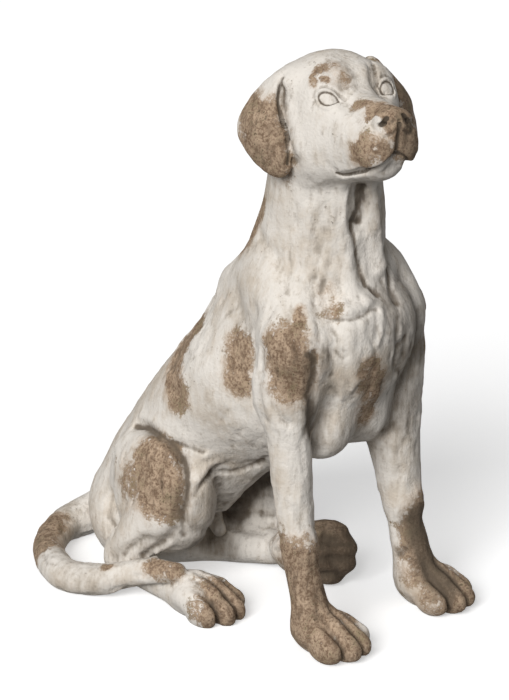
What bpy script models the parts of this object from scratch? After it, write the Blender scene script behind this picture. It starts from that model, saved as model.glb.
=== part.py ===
"""A seated hound, cast in one piece. +Z is up, it faces -Y, and +X is its own left.

Every length below is in parts of the dog's height: 620 parts reach from the ground to the crown,
so at the real height of 0.62 m one part is one millimetre. The masses of the body are laid on one
another like clay, each with the width over which it melts into the rest, and then the folds are cut.
"""

import math

import bmesh
import bpy
import numpy as np
from mathutils import Euler, Matrix, Vector

HEIGHT = 0.620
PARTS = 620.0
CELL = 5.0
TRIANGLES = 9600
FAR = 400.0
BLOCK_LOW = (-215.0, -225.0, -20.0)
BLOCK_HIGH = (165.0, 315.0, 655.0)

CLAY_COLOUR = (0.71, 0.67, 0.61, 1.0)
CLAY_ROUGHNESS = 0.85


def frame(origin, turn=(0.0, 0.0, 0.0)):
    """A place to model in: its X is forward, Y left and Z up, with -Y of the dog as forward at no turn.

    turn is (roll, pitch, yaw) in degrees. Pitch lifts the front and yaw swings it to the dog's left.
    """
    roll, pitch, yaw = (math.radians(angle) for angle in turn)
    return Matrix.Translation(origin) @ Euler((roll, -pitch, yaw - math.pi / 2), "XYZ").to_matrix().to_4x4()


BODY = Matrix.Identity(4)
CENTRE = (-26.0, 47.0, 0.0)
EYES = (-17.0, -108.0, 583.0)
HEAD = frame(EYES, (0.0, 15.0, -18.0))
SPINE_SLOPE = 36.5
RIBCAGE = (0.0, -26.0, 288.0)
LOIN = (0.0, 103.0, 178.0)
RUMP = (-4.0, 188.0, 48.0)
KNEE_RIGHT = (-80.0, 86.0, 118.0)
HOCK_RIGHT = (-96.0, 146.0, 34.0)
HOCK_LEFT = (-6.0, 140.0, 20.0)
EYEBALLS = ((3.5, -29.7, 0.5, -30.0), (2.9, 32.4, 0.0, 9.0))
TOE_LEANS = (-24.0, -8.5, 8.5, 24.0)
TOE_REACHES = (37.0, 50.0, 50.0, 37.0)
TAIL = [(0, 244, 36, 27), (-33, 266, 22, 23), (-75, 272, 16, 19), (-126, 239, 15, 18), (-158, 182, 15, 18),
        (-148, 140, 17, 17), (-128, 112, 26, 15.5), (-118, 82, 36, 13.5), (-115, 50, 43, 12)]
EAR_TOP = 36.0
EAR_LENGTH = 108.0
EAR = [(-42, 22), (-40, 4), (-34, -14), (-29, -32), (-27, -52), (-36, -68), (-51, -74), (-67, -63),
       (-84, -38), (-91, -15), (-86, 8), (-74, 22), (-60, 32), (-48, 32)]


def smooth_line(rows, closed=False, steps=4):
    """A Catmull-Rom line through rows of numbers, with some steps between each two of them."""
    rows = np.array(rows, float)
    if len(rows) < 3:
        return rows
    before = rows[-2] if closed else 2 * rows[0] - rows[1]
    after = rows[1] if closed else 2 * rows[-1] - rows[-2]
    padded = np.vstack([before, rows, after])
    line = []
    for a, b, c, d in zip(padded, padded[1:], padded[2:], padded[3:]):
        for t in np.arange(steps) / steps:
            bend = (c - a) * t + (2 * a - 5 * b + 4 * c - d) * t ** 2 + (3 * b - a - 3 * c + d) * t ** 3
            line.append(b + 0.5 * bend)
    line.append(rows[-1])
    return np.array(line)


def off_segment(local, one, two):
    """The vector from the nearest spot of a segment to each point, and how far along it that spot is."""
    step = two - one
    x, y, z = (axis - start for axis, start in zip(local, one))
    along = (x * step[0] + y * step[1] + z * step[2]) / max(float(step @ step), 1e-6)
    along = np.clip(along, 0.0, 1.0)
    return (x - along * step[0], y - along * step[1], z - along * step[2]), along


class Clay:
    """A block of space on a grid, which holds the distance from each grid point to the surface."""

    def __init__(self, cell):
        self.cell = cell
        self.axes = [np.arange(a, b + cell, cell, dtype=np.float32) for a, b in zip(BLOCK_LOW, BLOCK_HIGH)]
        self.distance = np.full([len(axis) for axis in self.axes], FAR, np.float32)

    def near(self, place, points, reach):
        """The part of the grid within reach of some points of a place, and its coordinates there."""
        spots = np.array([place @ Vector(point) for point in points])
        cut = []
        for axis, low, high in zip(self.axes, spots.min(0) - reach, spots.max(0) + reach):
            cut.append(slice(*np.searchsorted(axis, (low, high))))
        grid = np.meshgrid(*(axis[part] for axis, part in zip(self.axes, cut)), indexing="ij", sparse=True)
        back = np.array(place.inverted(), np.float32)
        local = [row[0] * grid[0] + row[1] * grid[1] + row[2] * grid[2] + row[3] for row in back[:3]]
        return tuple(cut), local

    def add(self, cut, distance, blend):
        """Lays a mass on the rest. It melts into the rest over the width of blend."""
        old = self.distance[cut]
        melt = np.maximum(blend - np.abs(old - distance), 0.0)
        self.distance[cut] = np.minimum(old, distance) - melt * melt / (4.0 * blend)

    def take(self, cut, distance, blend):
        """Cuts a mass out of the rest, with a rounded edge."""
        old = self.distance[cut]
        melt = np.maximum(blend - np.abs(old + distance), 0.0)
        self.distance[cut] = np.maximum(old, -distance) + melt * melt / (4.0 * blend)

    def egg(self, place, centre, radii, blend=14.0, turn=(0.0, 0.0, 0.0), hollow=False):
        """An ellipsoid with its own turn (roll, pitch, yaw) in its place, laid on or scooped out."""
        own = Euler([math.radians(angle) for angle in turn], "XYZ").to_matrix().to_4x4()
        cut, local = self.near(place @ Matrix.Translation(centre) @ own, [(0.0, 0.0, 0.0)],
                               max(radii) + 2.0 * blend)
        near = np.sqrt(sum((axis / r) ** 2 for axis, r in zip(local, radii)))
        slope = np.sqrt(sum((axis / r ** 2) ** 2 for axis, r in zip(local, radii)))
        distance = np.maximum(near, 1e-3) * (near - 1.0) / np.maximum(slope, 1e-3 / max(radii))
        if hollow:
            self.take(cut, distance, blend)
        else:
            self.add(cut, distance, blend)

    def limb(self, place, spots, blend=14.0, wide=1.0, across=(1.0, 0.0, 0.0)):
        """A round limb along a smooth line through spots (x, y, z, radius).

        In the direction across it is wide times as thick.
        """
        line = smooth_line(spots, steps=8)
        cut, local = self.near(place, line[:, :3], line[:, 3].max() * max(wide, 1.0) + 2.0 * blend)
        distance = FAR
        for one, two in zip(line, line[1:]):
            (x, y, z), along = off_segment(local, one[:3], two[:3])
            side = x * across[0] + y * across[1] + z * across[2]
            round_off = np.sqrt(np.maximum(x * x + y * y + z * z + (1.0 / wide ** 2 - 1.0) * side ** 2, 0.0))
            distance = np.minimum(distance, round_off - one[3] - along * (two[3] - one[3]))
        self.add(cut, distance, blend)

    def settled(self, place, line):
        """The points of a line, each moved to the nearest surface."""
        low = np.array([axis[0] for axis in self.axes])
        line = np.array([place @ Vector(point) for point in line])
        for _ in range(6):
            at = np.clip(np.rint((line - low) / self.cell).astype(int), 1, np.array(self.distance.shape) - 2)
            here = self.distance[tuple(at.T)]
            slope = np.stack([self.distance[tuple((at + step).T)] - self.distance[tuple((at - step).T)]
                              for step in np.eye(3, dtype=int)], 1) / (2.0 * self.cell)
            off = here + ((line - low - at * self.cell) * slope).sum(1)
            line -= 0.7 * (off / np.maximum((slope ** 2).sum(1), 0.2))[:, None] * slope
        back = place.inverted()
        return np.array([back @ Vector(point) for point in line])

    def stroke(self, place, spots, width, rise):
        """Draws a round tool along the surface near a line: it swells there, or sinks if rise is below 0."""
        line = self.settled(place, smooth_line(spots))
        cut, local = self.near(place, line, 1.3 * width)
        nearest = FAR ** 2
        for one, two in zip(line, line[1:]):
            (x, y, z), _ = off_segment(local, one, two)
            nearest = np.minimum(nearest, x * x + y * y + z * z)
        self.distance[cut] -= rise * np.exp(-nearest / (0.5 * width) ** 2)

    def flap(self, place, outline, thickness, bow, blend):
        """A flap with round edges in a place's XZ plane, inside a smooth outline of (x, z) corners.

        bow(x, z) says how far along Y it bends out there.
        """
        edge = smooth_line(outline + outline[:1], closed=True)
        cut, (x, y, z) = self.near(place, [(a, bow(a, b), b) for a, b in edge], thickness + 2.0 * blend)
        rim = np.full(np.broadcast_shapes(x.shape, y.shape, z.shape), FAR ** 2, np.float32)
        inside = np.zeros(rim.shape, bool)
        for (ax, az), (bx, bz) in zip(edge, edge[1:]):
            dx, dz = bx - ax, bz - az
            along = np.clip(((x - ax) * dx + (z - az) * dz) / max(dx * dx + dz * dz, 1e-6), 0.0, 1.0)
            rim = np.minimum(rim, (x - ax - along * dx) ** 2 + (z - az - along * dz) ** 2)
            if az != bz:
                inside ^= ((z < az) != (z < bz)) & (x < ax + (z - az) * dx / dz)
        half = 0.5 * thickness
        rim = np.sqrt(rim) * np.where(inside, -1.0, 1.0) + half
        beside = np.abs(y - bow(x, z))
        self.add(cut, np.hypot(np.maximum(rim, 0.0), beside) - half, blend)

    def soften(self, times=1):
        """Rubs the whole figure down: each spot takes the mean of those beside it."""
        for _ in range(times):
            for axis in range(3):
                rows = np.moveaxis(self.distance, axis, 0)
                rows[1:-1] = 0.25 * (rows[:-2] + rows[2:]) + 0.5 * rows[1:-1]

    def untangle(self):
        """Fills the spots where two folds would touch only along an edge or at a corner of the grid."""
        for _ in range(12):
            inside = self.distance < 0.0
            tangled = np.zeros(inside.shape, bool)
            for axis in range(3):
                side = np.moveaxis(inside, axis, 0)
                marks = np.moveaxis(tangled, axis, 0)
                a, b, c, d = side[:, :-1, :-1], side[:, 1:, :-1], side[:, :-1, 1:], side[:, 1:, 1:]
                crossed = (a == d) & (b == c) & (a != b)
                for u in (0, 1):
                    for v in (0, 1):
                        size = crossed.shape
                        marks[:, u:size[1] + u, v:size[2] + v] |= crossed
            if not tangled.any():
                break
            self.distance[tangled] = np.minimum(self.distance[tangled], -0.1 * self.cell)

    def surface(self):
        """The surface as points and four-sided faces: one point in each cell that it crosses."""
        self.untangle()
        inside = self.distance < 0.0
        shape = [size - 1 for size in inside.shape]
        spot = np.zeros([3] + shape, np.float32)
        count = np.zeros(shape, np.float32)
        for axis in range(3):
            first, second = (other for other in range(3) if other != axis)
            for u in (0, 1):
                for v in (0, 1):
                    shift = [0, 0, 0]
                    shift[first], shift[second] = u, v
                    start = tuple(slice(s, s + size) for s, size in zip(shift, shape))
                    shift[axis] = 1
                    stop = tuple(slice(s, s + size) for s, size in zip(shift, shape))
                    crosses = inside[start] != inside[stop]
                    a, b = self.distance[start], self.distance[stop]
                    count += crosses
                    spot[first] += crosses * u
                    spot[second] += crosses * v
                    spot[axis] += np.where(crosses, a / np.where(crosses, a - b, 1.0), 0.0)
        cells = np.argwhere(count > 0)
        where = tuple(cells.T)
        corner = np.array([axis[0] for axis in self.axes])
        points = corner + self.cell * (cells + (spot[:, *where] / count[where]).T)
        name = np.full(shape, -1, np.int32)
        name[where] = np.arange(len(cells))
        faces = []
        for axis in range(3):
            first, second = (axis + 1) % 3, (axis + 2) % 3
            start = [slice(1, -1)] * 3
            stop = [slice(1, -1)] * 3
            start[axis], stop[axis] = slice(0, -1), slice(1, None)
            leaves = inside[tuple(start)] & ~inside[tuple(stop)]
            enters = ~inside[tuple(start)] & inside[tuple(stop)]
            for crossing, order in ((leaves, 1), (enters, -1)):
                at = np.argwhere(crossing)
                at[:, first] += 1
                at[:, second] += 1
                ring = []
                for back in ((1, 1), (0, 1), (0, 0), (1, 0)):
                    corner = at.copy()
                    corner[:, first] -= back[0]
                    corner[:, second] -= back[1]
                    ring.append(name[tuple(corner.T)])
                faces.append(np.stack(ring[::order], 1))
        return points, np.concatenate(faces)


def torso(clay):
    """Ribcage, loin and rump on a spine that slopes down to the ground, with the chest in front."""
    clay.egg(BODY, RIBCAGE, (84, 101, 142), 10, (SPINE_SLOPE, 0, 0))
    clay.limb(BODY, [(0, 32, 250, 84), (*LOIN, 76), (0, 168, 104, 69)], 24, 1.07)
    clay.egg(BODY, RUMP, (82, 76, 76), 20)
    clay.limb(BODY, [(-4, 10, 186, 34), (-6, 66, 146, 38), (-6, 100, 96, 30)], 16)
    for side in (-1, 1):
        clay.egg(BODY, (side * 34, -104, 312), (38, 36, 60), 24, (20, 0, 0))
        clay.egg(BODY, (side * 34, -78, 228), (30, 40, 38), 24)


def neck(clay):
    """The neck rises from between the shoulder blades into the skull, deeper than it is wide."""
    clay.limb(BODY, [(0, -38, 370, 76), (2, -51, 425, 69), (-2, -59, 478, 62), (-8, -62, 535, 54)], 24, 0.9)


def shoulders(clay):
    """Shoulder blades and upper arms."""
    for side, top, blade in ((-1, 375, (-52, -48, 362, 31)), (1, 385, (59, -63, 375, 34))):
        point = (side * 66, -84, 328, 38)
        clay.limb(BODY, [(side * 28, 0, top, 20), blade, point], 24)
        clay.limb(BODY, [point, (side * 76, -78, 275, 35)], 20)
    clay.egg(BODY, (-12, 28, 346), (28, 42, 29), 32)


def foreleg(clay, elbow, wrist, ankle, thick, arm):
    """A straight foreleg from its elbow, of the radius arm, down to where it stands in its paw."""
    elbow, wrist, ankle = np.array(elbow), np.array(wrist), np.array(ankle)
    forearm = 0.6 * elbow + 0.4 * wrist
    pastern = 0.4 * wrist + 0.6 * ankle
    spots = [(*elbow, arm), (*forearm, 0.75 * arm), (*wrist, 18 * thick), (*pastern, 18 * thick),
             (*ankle, 20 * thick)]
    clay.limb(BODY, spots, 14)
    clay.egg(BODY, wrist + (0, -4, 2), (18 * thick, 19 * thick, 24), 8)


def paw(clay, place, size=1.0, spread=1.0):
    """A hound's paw: four toes in front of a high back. The place is on the ground under the wrist."""
    place = place @ Matrix.Scale(size, 4)
    clay.egg(place, (18, 0, 22), (38, 26, 27), 12)
    for lean, reach in zip(TOE_LEANS, TOE_REACHES):
        turn = (0, 0, 0.35 * lean)
        clay.egg(place, (reach, lean * spread, 15), (22, 11, 16), 5, turn)
        clay.egg(place, (reach - 18, 0.9 * lean * spread, 25), (24, 9.5, 13), 5, turn)
    for one, two in zip(TOE_LEANS, TOE_LEANS[1:]):
        gap = 0.5 * (one + two) * spread
        tip = 62 - 0.6 * abs(gap)
        clay.stroke(place, [(tip, gap, 6), (tip - 10, gap, 24), (22, 0.8 * gap, 42)], 7, -4)


def hind_leg_right(clay):
    """The right hind leg sits folded: thigh on the flank, shank down and back, foot flat on the ground."""
    clay.egg(BODY, (-64, 124, 106), (42, 66, 74), 10, (-12, 0, 0))
    clay.egg(BODY, KNEE_RIGHT, (34, 44, 60), 30, (-12, 0, 0))
    clay.limb(BODY, [(-88, 96, 92, 34), (-96, 118, 62, 28), (*HOCK_RIGHT, 23)], 10)
    clay.limb(BODY, [(-94, 152, 22, 22), (-98, 95, 16, 18), (-102, 54, 17, 18)], 6)
    paw(clay, frame((-103, 46, -4), (0, 0, 8)))


def hind_leg_left(clay):
    """The left hind leg lies on its outer side, with its foot drawn in under the belly."""
    clay.egg(BODY, (56, 138, 72), (46, 66, 68), 14)
    clay.limb(BODY, [(70, 110, 60, 42), (72, 82, 44, 33)], 16)
    clay.limb(BODY, [(70, 84, 32, 34), (38, 108, 30, 31), (-8, 132, 22, 24)], 10)
    clay.limb(BODY, [(*HOCK_LEFT, 22), (24, 82, 20, 20), (54, 22, 25, 19)], 8)
    sole = frame((51, 24, 34), (82, 0, 16))
    paw(clay, sole, 1.08, 0.9)
    clay.egg(sole, (44, 0, 12), (23, 28, 13), 8)
    clay.limb(BODY, [(4, 120, 62, 10), (-6, 90, 46, 8)], 8)


def tail(clay):
    """The tail lies on the ground, round the right side, with its tip over the right hind foot."""
    clay.limb(BODY, TAIL, 4)


def skull(clay):
    """The domed skull, brows, cheeks and the deep square muzzle with its flews and lower jaw."""
    left = (0, 1, 0)
    clay.egg(HEAD, (-42, 0, 1), (61, 51, 47), 14)
    clay.limb(HEAD, [(-5, 0, -30, 32), (40, 0, -36, 27), (58, 0, -40, 24)], 18, 1.05, left)
    clay.limb(HEAD, [(4, 0, -15, 20), (66, 0, -26, 15)], 10, 1.1, left)
    clay.limb(HEAD, [(-34, 0, -58, 34), (5, 0, -66, 20), (36, 0, -73, 13), (48, 0, -73, 11)], 12, 1.45, left)
    for side, out in ((-1, 30), (1, 38)):
        clay.egg(HEAD, (-9, side * out, -7), (21, 15, 24), 16)
        clay.egg(HEAD, (-34, side * 33, -40), (40, 23, 42), 16)
        clay.egg(HEAD, (6, side * 24, -44), (40, 17, 34), 16)
        clay.egg(HEAD, (42, side * 17, -49), (36, 17, 20), 10, (0, -12, 0))
        clay.egg(HEAD, (58, side * 15, -55), (17, 15, 16), 8)
    clay.egg(HEAD, (-12, 32, 14), (18, 16, 13), 12)
    clay.egg(HEAD, (-50, -38, 22), (22, 16, 14), 14)
    clay.egg(HEAD, (75, 0, -29), (13, 20, 14), 5)


def face(clay):
    """Eyes between their lids, the stop, nostrils, the groove of the nose and the line of the lips."""
    clay.stroke(HEAD, [(-6, 0, 44), (4, 0, 28), (10, 0, 10)], 22, -3)
    clay.stroke(HEAD, [(6, 25, 26), (13, 20, 14), (10, 22, 4)], 9, -5)
    clay.stroke(HEAD, [(88, 0, -32), (80, 0, -42), (74, 0, -57)], 5, -4)
    for side in (-1, 1):
        clay.stroke(HEAD, [(12, side * 18, 8), (14, side * 20, -6), (32, side * 20, -14)], 16, -2)
        clay.stroke(HEAD, [(5, side * 43, 1), (10, side * 34, 2), (14, side * 25, 0)], 14, -2)
        clay.stroke(HEAD, [(88, side * 9, -26), (87, side * 14, -30), (81, side * 20, -31)], 6, -5)
        clay.stroke(HEAD, [(72, 0, -60), (69, side * 8, -63), (63, side * 16, -68), (46, side * 25, -74),
                           (15, side * 32, -76)], 7, -4)
    for x, y, z, yaw in EYEBALLS:
        clay.egg(HEAD, (x, y, z), (9, 13, 10.5), 1.5, (0, 0, yaw))


def ears(clay):
    """Broad hanging ears: flaps that start on the skull, bulge out behind and lie back on the neck."""

    def bow(x, z):
        down = np.clip((EAR_TOP - z) / EAR_LENGTH, 0.0, 1.0)
        hang = 0.5 - 0.5 * np.cos(np.minimum(1.8 * down, 1.0) * math.pi)
        flare = np.sin(0.86 * down * math.pi)
        back = np.sin(np.clip((-24.0 - x) / 45.0, 0.0, 1.0) * math.pi / 2)
        return 46.0 + 12.0 * hang + 25.0 * back * flare

    clay.flap(HEAD, EAR, 13, lambda x, z: -bow(x, z), 4)

    def bow_left(x, z):
        return 1.31 * bow(x + 4.0, z) - 8.5 + 0.3 * np.maximum(-30.0 - z, 0.0)

    raised = HEAD @ Matrix.Translation((0, 0, 1))
    clay.flap(raised, EAR, 13, bow_left, 8)
    for side, place in ((-1, HEAD), (1, raised)):
        clay.egg(place, (-60, side * 49, -20), (22, 18, 34), 14)
        front = [(-43, side * 56, 14), (-38, side * 60, 0), (-32, side * 64, -14), (-28, side * 65, -31),
                 (-25, side * 64, -46), (-25, side * 62, -60)]
        clay.stroke(place, front, 9, -5)


def folds(clay):
    """The folds of skin and the hollows between the muscles."""
    thigh = [(-73, 148, 171), (-79, 123, 177), (-85, 94, 181), (-85, 79, 176), (-86, 66, 164), (-89, 58, 147),
             (-95, 55, 127), (-101, 58, 104)]
    clay.stroke(BODY, thigh, 13, -8)
    clay.stroke(BODY, [(-85, 82, 177), (-79, 62, 178), (-72, 48, 173)], 10, -3)
    clay.stroke(BODY, [(-64, 56, 140), (-58, 43, 147), (-44, 22, 151), (-34, 2, 157)], 14, -4)
    clay.stroke(BODY, [(-117, 142, 32), (-118, 117, 52), (-112, 92, 72)], 13, -6)
    clay.stroke(BODY, [(-95, 176, 118), (-98, 180, 80), (-90, 182, 44)], 18, -6)
    throat = [(-20, -121, 494), (-16, -121, 476), (-17, -119, 446)]
    clay.stroke(BODY, throat, 15, -11)
    clay.stroke(BODY, [(-17, -119, 450), (-8, -125, 420), (0, -138, 385)], 26, -5)
    clay.stroke(BODY, [(-36, -112, 492), (-32, -112, 466), (-30, -113, 438), (-24, -115, 411)], 13, 4)
    clay.stroke(BODY, [(2, -122, 490), (3, -123, 462), (8, -122, 430), (16, -122, 400)], 13, 4)
    clay.stroke(BODY, [(-28, -113, 440), (-22, -115, 411), (-14, -124, 385)], 9, -3)
    for side in (-1, 1):
        clay.stroke(BODY, [(side * 62, -108, 372), (side * 62, -128, 335), (side * 56, -122, 290),
                           (side * 54, -110, 250), (side * 52, -96, 215)], 20, -7)
        clay.stroke(BODY, [(side * 82, -38, 352), (side * 86, -30, 322), (side * 84, -36, 296),
                           (side * 78, -48, 262)], 20, -7)
    clay.stroke(BODY, [(0, -145, 350), (0, -148, 310), (0, -135, 265)], 28, 3)


def dog(clay):
    """The whole figure."""
    torso(clay)
    neck(clay)
    shoulders(clay)
    foreleg(clay, (-79, -76, 282), (-88, -104, 112), (-85, -120, 40), 1.0, 31)
    paw(clay, frame((-80, -112, 0), (0, 0, 8)))
    foreleg(clay, (68, -80, 280), (75, -104, 112), (77, -122, 40), 1.12, 44)
    paw(clay, frame((82, -116, 0), (0, 0, 10)))
    hind_leg_right(clay)
    hind_leg_left(clay)
    tail(clay)
    clay.soften()
    skull(clay)
    folds(clay)
    face(clay)
    ears(clay)


def clay_material():
    """Pale fired clay."""
    material = bpy.data.materials.new("limewashed clay")
    material.use_nodes = True
    shader = material.node_tree.nodes["Principled BSDF"]
    shader.inputs["Base Color"].default_value = CLAY_COLOUR
    shader.inputs["Roughness"].default_value = CLAY_ROUGHNESS
    return material


def cast(name, points, faces, triangles):
    """The figure as a closed mesh of about so many triangles, cut flat where it meets the ground."""
    mesh = bpy.data.meshes.new(name)
    mesh.from_pydata(points.tolist(), [], faces.tolist())
    rough = bpy.data.objects.new(name, mesh)
    bpy.context.collection.objects.link(rough)
    thin = rough.modifiers.new("thin out", "DECIMATE")
    thin.ratio = triangles / (2.0 * len(faces))
    graph = bpy.context.evaluated_depsgraph_get()
    mesh = bpy.data.meshes.new_from_object(rough.evaluated_get(graph))
    bpy.data.objects.remove(rough)

    work = bmesh.new()
    work.from_mesh(mesh)
    every = work.verts[:] + work.edges[:] + work.faces[:]
    bmesh.ops.bisect_plane(work, geom=every, plane_co=(0, 0, 0), plane_no=(0, 0, 1), clear_inner=True)
    bmesh.ops.holes_fill(work, edges=[edge for edge in work.edges if edge.is_boundary])
    bmesh.ops.triangulate(work, faces=work.faces[:])
    bmesh.ops.recalc_face_normals(work, faces=work.faces[:])
    for vertex in work.verts:
        vertex.co = (vertex.co - Vector(CENTRE)) * HEIGHT / PARTS
    work.to_mesh(mesh)
    work.free()
    figure = bpy.data.objects.new(name, mesh)
    mesh.materials.append(clay_material())
    bpy.context.collection.objects.link(figure)
    return figure


def main():
    for thing in list(bpy.data.objects):
        bpy.data.objects.remove(thing)
    clay = Clay(CELL)
    dog(clay)
    cast("dog", *clay.surface(), TRIANGLES)


main()
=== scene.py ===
"""A seated hound for the garden: hollow cast clay under worn limewash, on a pale floor in soft light."""

import math

import bmesh
import bpy
import numpy as np
from mathutils import Euler, Matrix, Vector


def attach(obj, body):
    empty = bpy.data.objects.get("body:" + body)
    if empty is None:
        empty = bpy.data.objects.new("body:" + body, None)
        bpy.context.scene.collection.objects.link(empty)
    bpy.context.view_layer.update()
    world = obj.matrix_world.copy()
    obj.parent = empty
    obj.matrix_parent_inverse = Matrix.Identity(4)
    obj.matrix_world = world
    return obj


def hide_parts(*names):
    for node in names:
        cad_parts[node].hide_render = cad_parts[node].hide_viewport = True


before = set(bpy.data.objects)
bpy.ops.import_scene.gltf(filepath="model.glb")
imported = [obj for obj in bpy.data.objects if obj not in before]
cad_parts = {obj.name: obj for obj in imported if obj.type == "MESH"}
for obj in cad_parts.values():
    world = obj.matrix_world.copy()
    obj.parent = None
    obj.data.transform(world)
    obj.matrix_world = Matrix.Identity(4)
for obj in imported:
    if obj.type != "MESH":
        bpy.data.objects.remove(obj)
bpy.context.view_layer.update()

HEIGHT = 0.620
PARTS = 620.0
CELL = 2.0
FACE_CELL = 0.8
TRIANGLES = 130000
FAR = 400.0
BLOCK_LOW = (-215.0, -225.0, -20.0)
BLOCK_HIGH = (165.0, 315.0, 655.0)
FACE_LOW = (-112.0, -215.0, 485.0)
FACE_HIGH = (50.0, -36.0, 622.0)


def placed(origin, turn=(0.0, 0.0, 0.0)):
    """A place to model in: its X is forward, Y left and Z up, with -Y of the dog as forward at no turn.

    turn is (roll, pitch, yaw) in degrees. Pitch lifts the front and yaw swings it to the dog's left.
    """
    roll, pitch, yaw = (math.radians(angle) for angle in turn)
    return Matrix.Translation(origin) @ Euler((roll, -pitch, yaw - math.pi / 2), "XYZ").to_matrix().to_4x4()


BODY = Matrix.Identity(4)
CENTRE = (-26.0, 47.0, 0.0)
EYES = (-17.0, -108.0, 583.0)
HEAD = placed(EYES, (0.0, 15.0, -18.0))
SPINE_SLOPE = 36.5
RIBCAGE = (0.0, -26.0, 288.0)
LOIN = (0.0, 103.0, 178.0)
RUMP = (-4.0, 188.0, 48.0)
KNEE_RIGHT = (-80.0, 86.0, 118.0)
HOCK_RIGHT = (-96.0, 146.0, 34.0)
HOCK_LEFT = (-6.0, 140.0, 20.0)
EYEBALLS = ((3.5, -29.7, 0.5, -30.0), (2.9, 32.4, 0.0, 9.0))
TOE_LEANS = (-24.0, -8.5, 8.5, 24.0)
TOE_REACHES = (37.0, 50.0, 50.0, 37.0)
TAIL = [(0, 244, 36, 27), (-33, 266, 22, 23), (-75, 272, 16, 19), (-126, 239, 15, 18), (-158, 182, 15, 18),
        (-148, 140, 17, 17), (-128, 112, 26, 15.5), (-118, 82, 36, 13.5), (-115, 50, 43, 12)]
EAR_TOP = 36.0
EAR_LENGTH = 108.0
EAR = [(-42, 22), (-40, 4), (-34, -14), (-29, -32), (-27, -52), (-36, -68), (-51, -74), (-67, -63),
       (-84, -38), (-91, -15), (-86, 8), (-74, 22), (-60, 32), (-48, 32)]


def between(a, b, c, d, t):
    """A smooth value at the share t of the way from b to c, with a before them and d after."""
    bend = (c - a) * t + (2 * a - 5 * b + 4 * c - d) * t ** 2 + (3 * b - a - 3 * c + d) * t ** 3
    return b + 0.5 * bend


def smooth_line(rows, closed=False, steps=4):
    """A Catmull-Rom line through rows of numbers, with some steps between each two of them."""
    rows = np.array(rows, float)
    if len(rows) < 3:
        return rows
    before = rows[-2] if closed else 2 * rows[0] - rows[1]
    after = rows[1] if closed else 2 * rows[-1] - rows[-2]
    padded = np.vstack([before, rows, after])
    line = []
    for a, b, c, d in zip(padded, padded[1:], padded[2:], padded[3:]):
        line.extend(between(a, b, c, d, t) for t in np.arange(steps) / steps)
    line.append(rows[-1])
    return np.array(line)


def off_segment(local, one, two):
    """The vector from the nearest spot of a segment to each point, and how far along it that spot is."""
    step = two - one
    x, y, z = (axis - start for axis, start in zip(local, one))
    along = (x * step[0] + y * step[1] + z * step[2]) / max(float(step @ step), 1e-6)
    along = np.clip(along, 0.0, 1.0)
    return (x - along * step[0], y - along * step[1], z - along * step[2]), along


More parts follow.
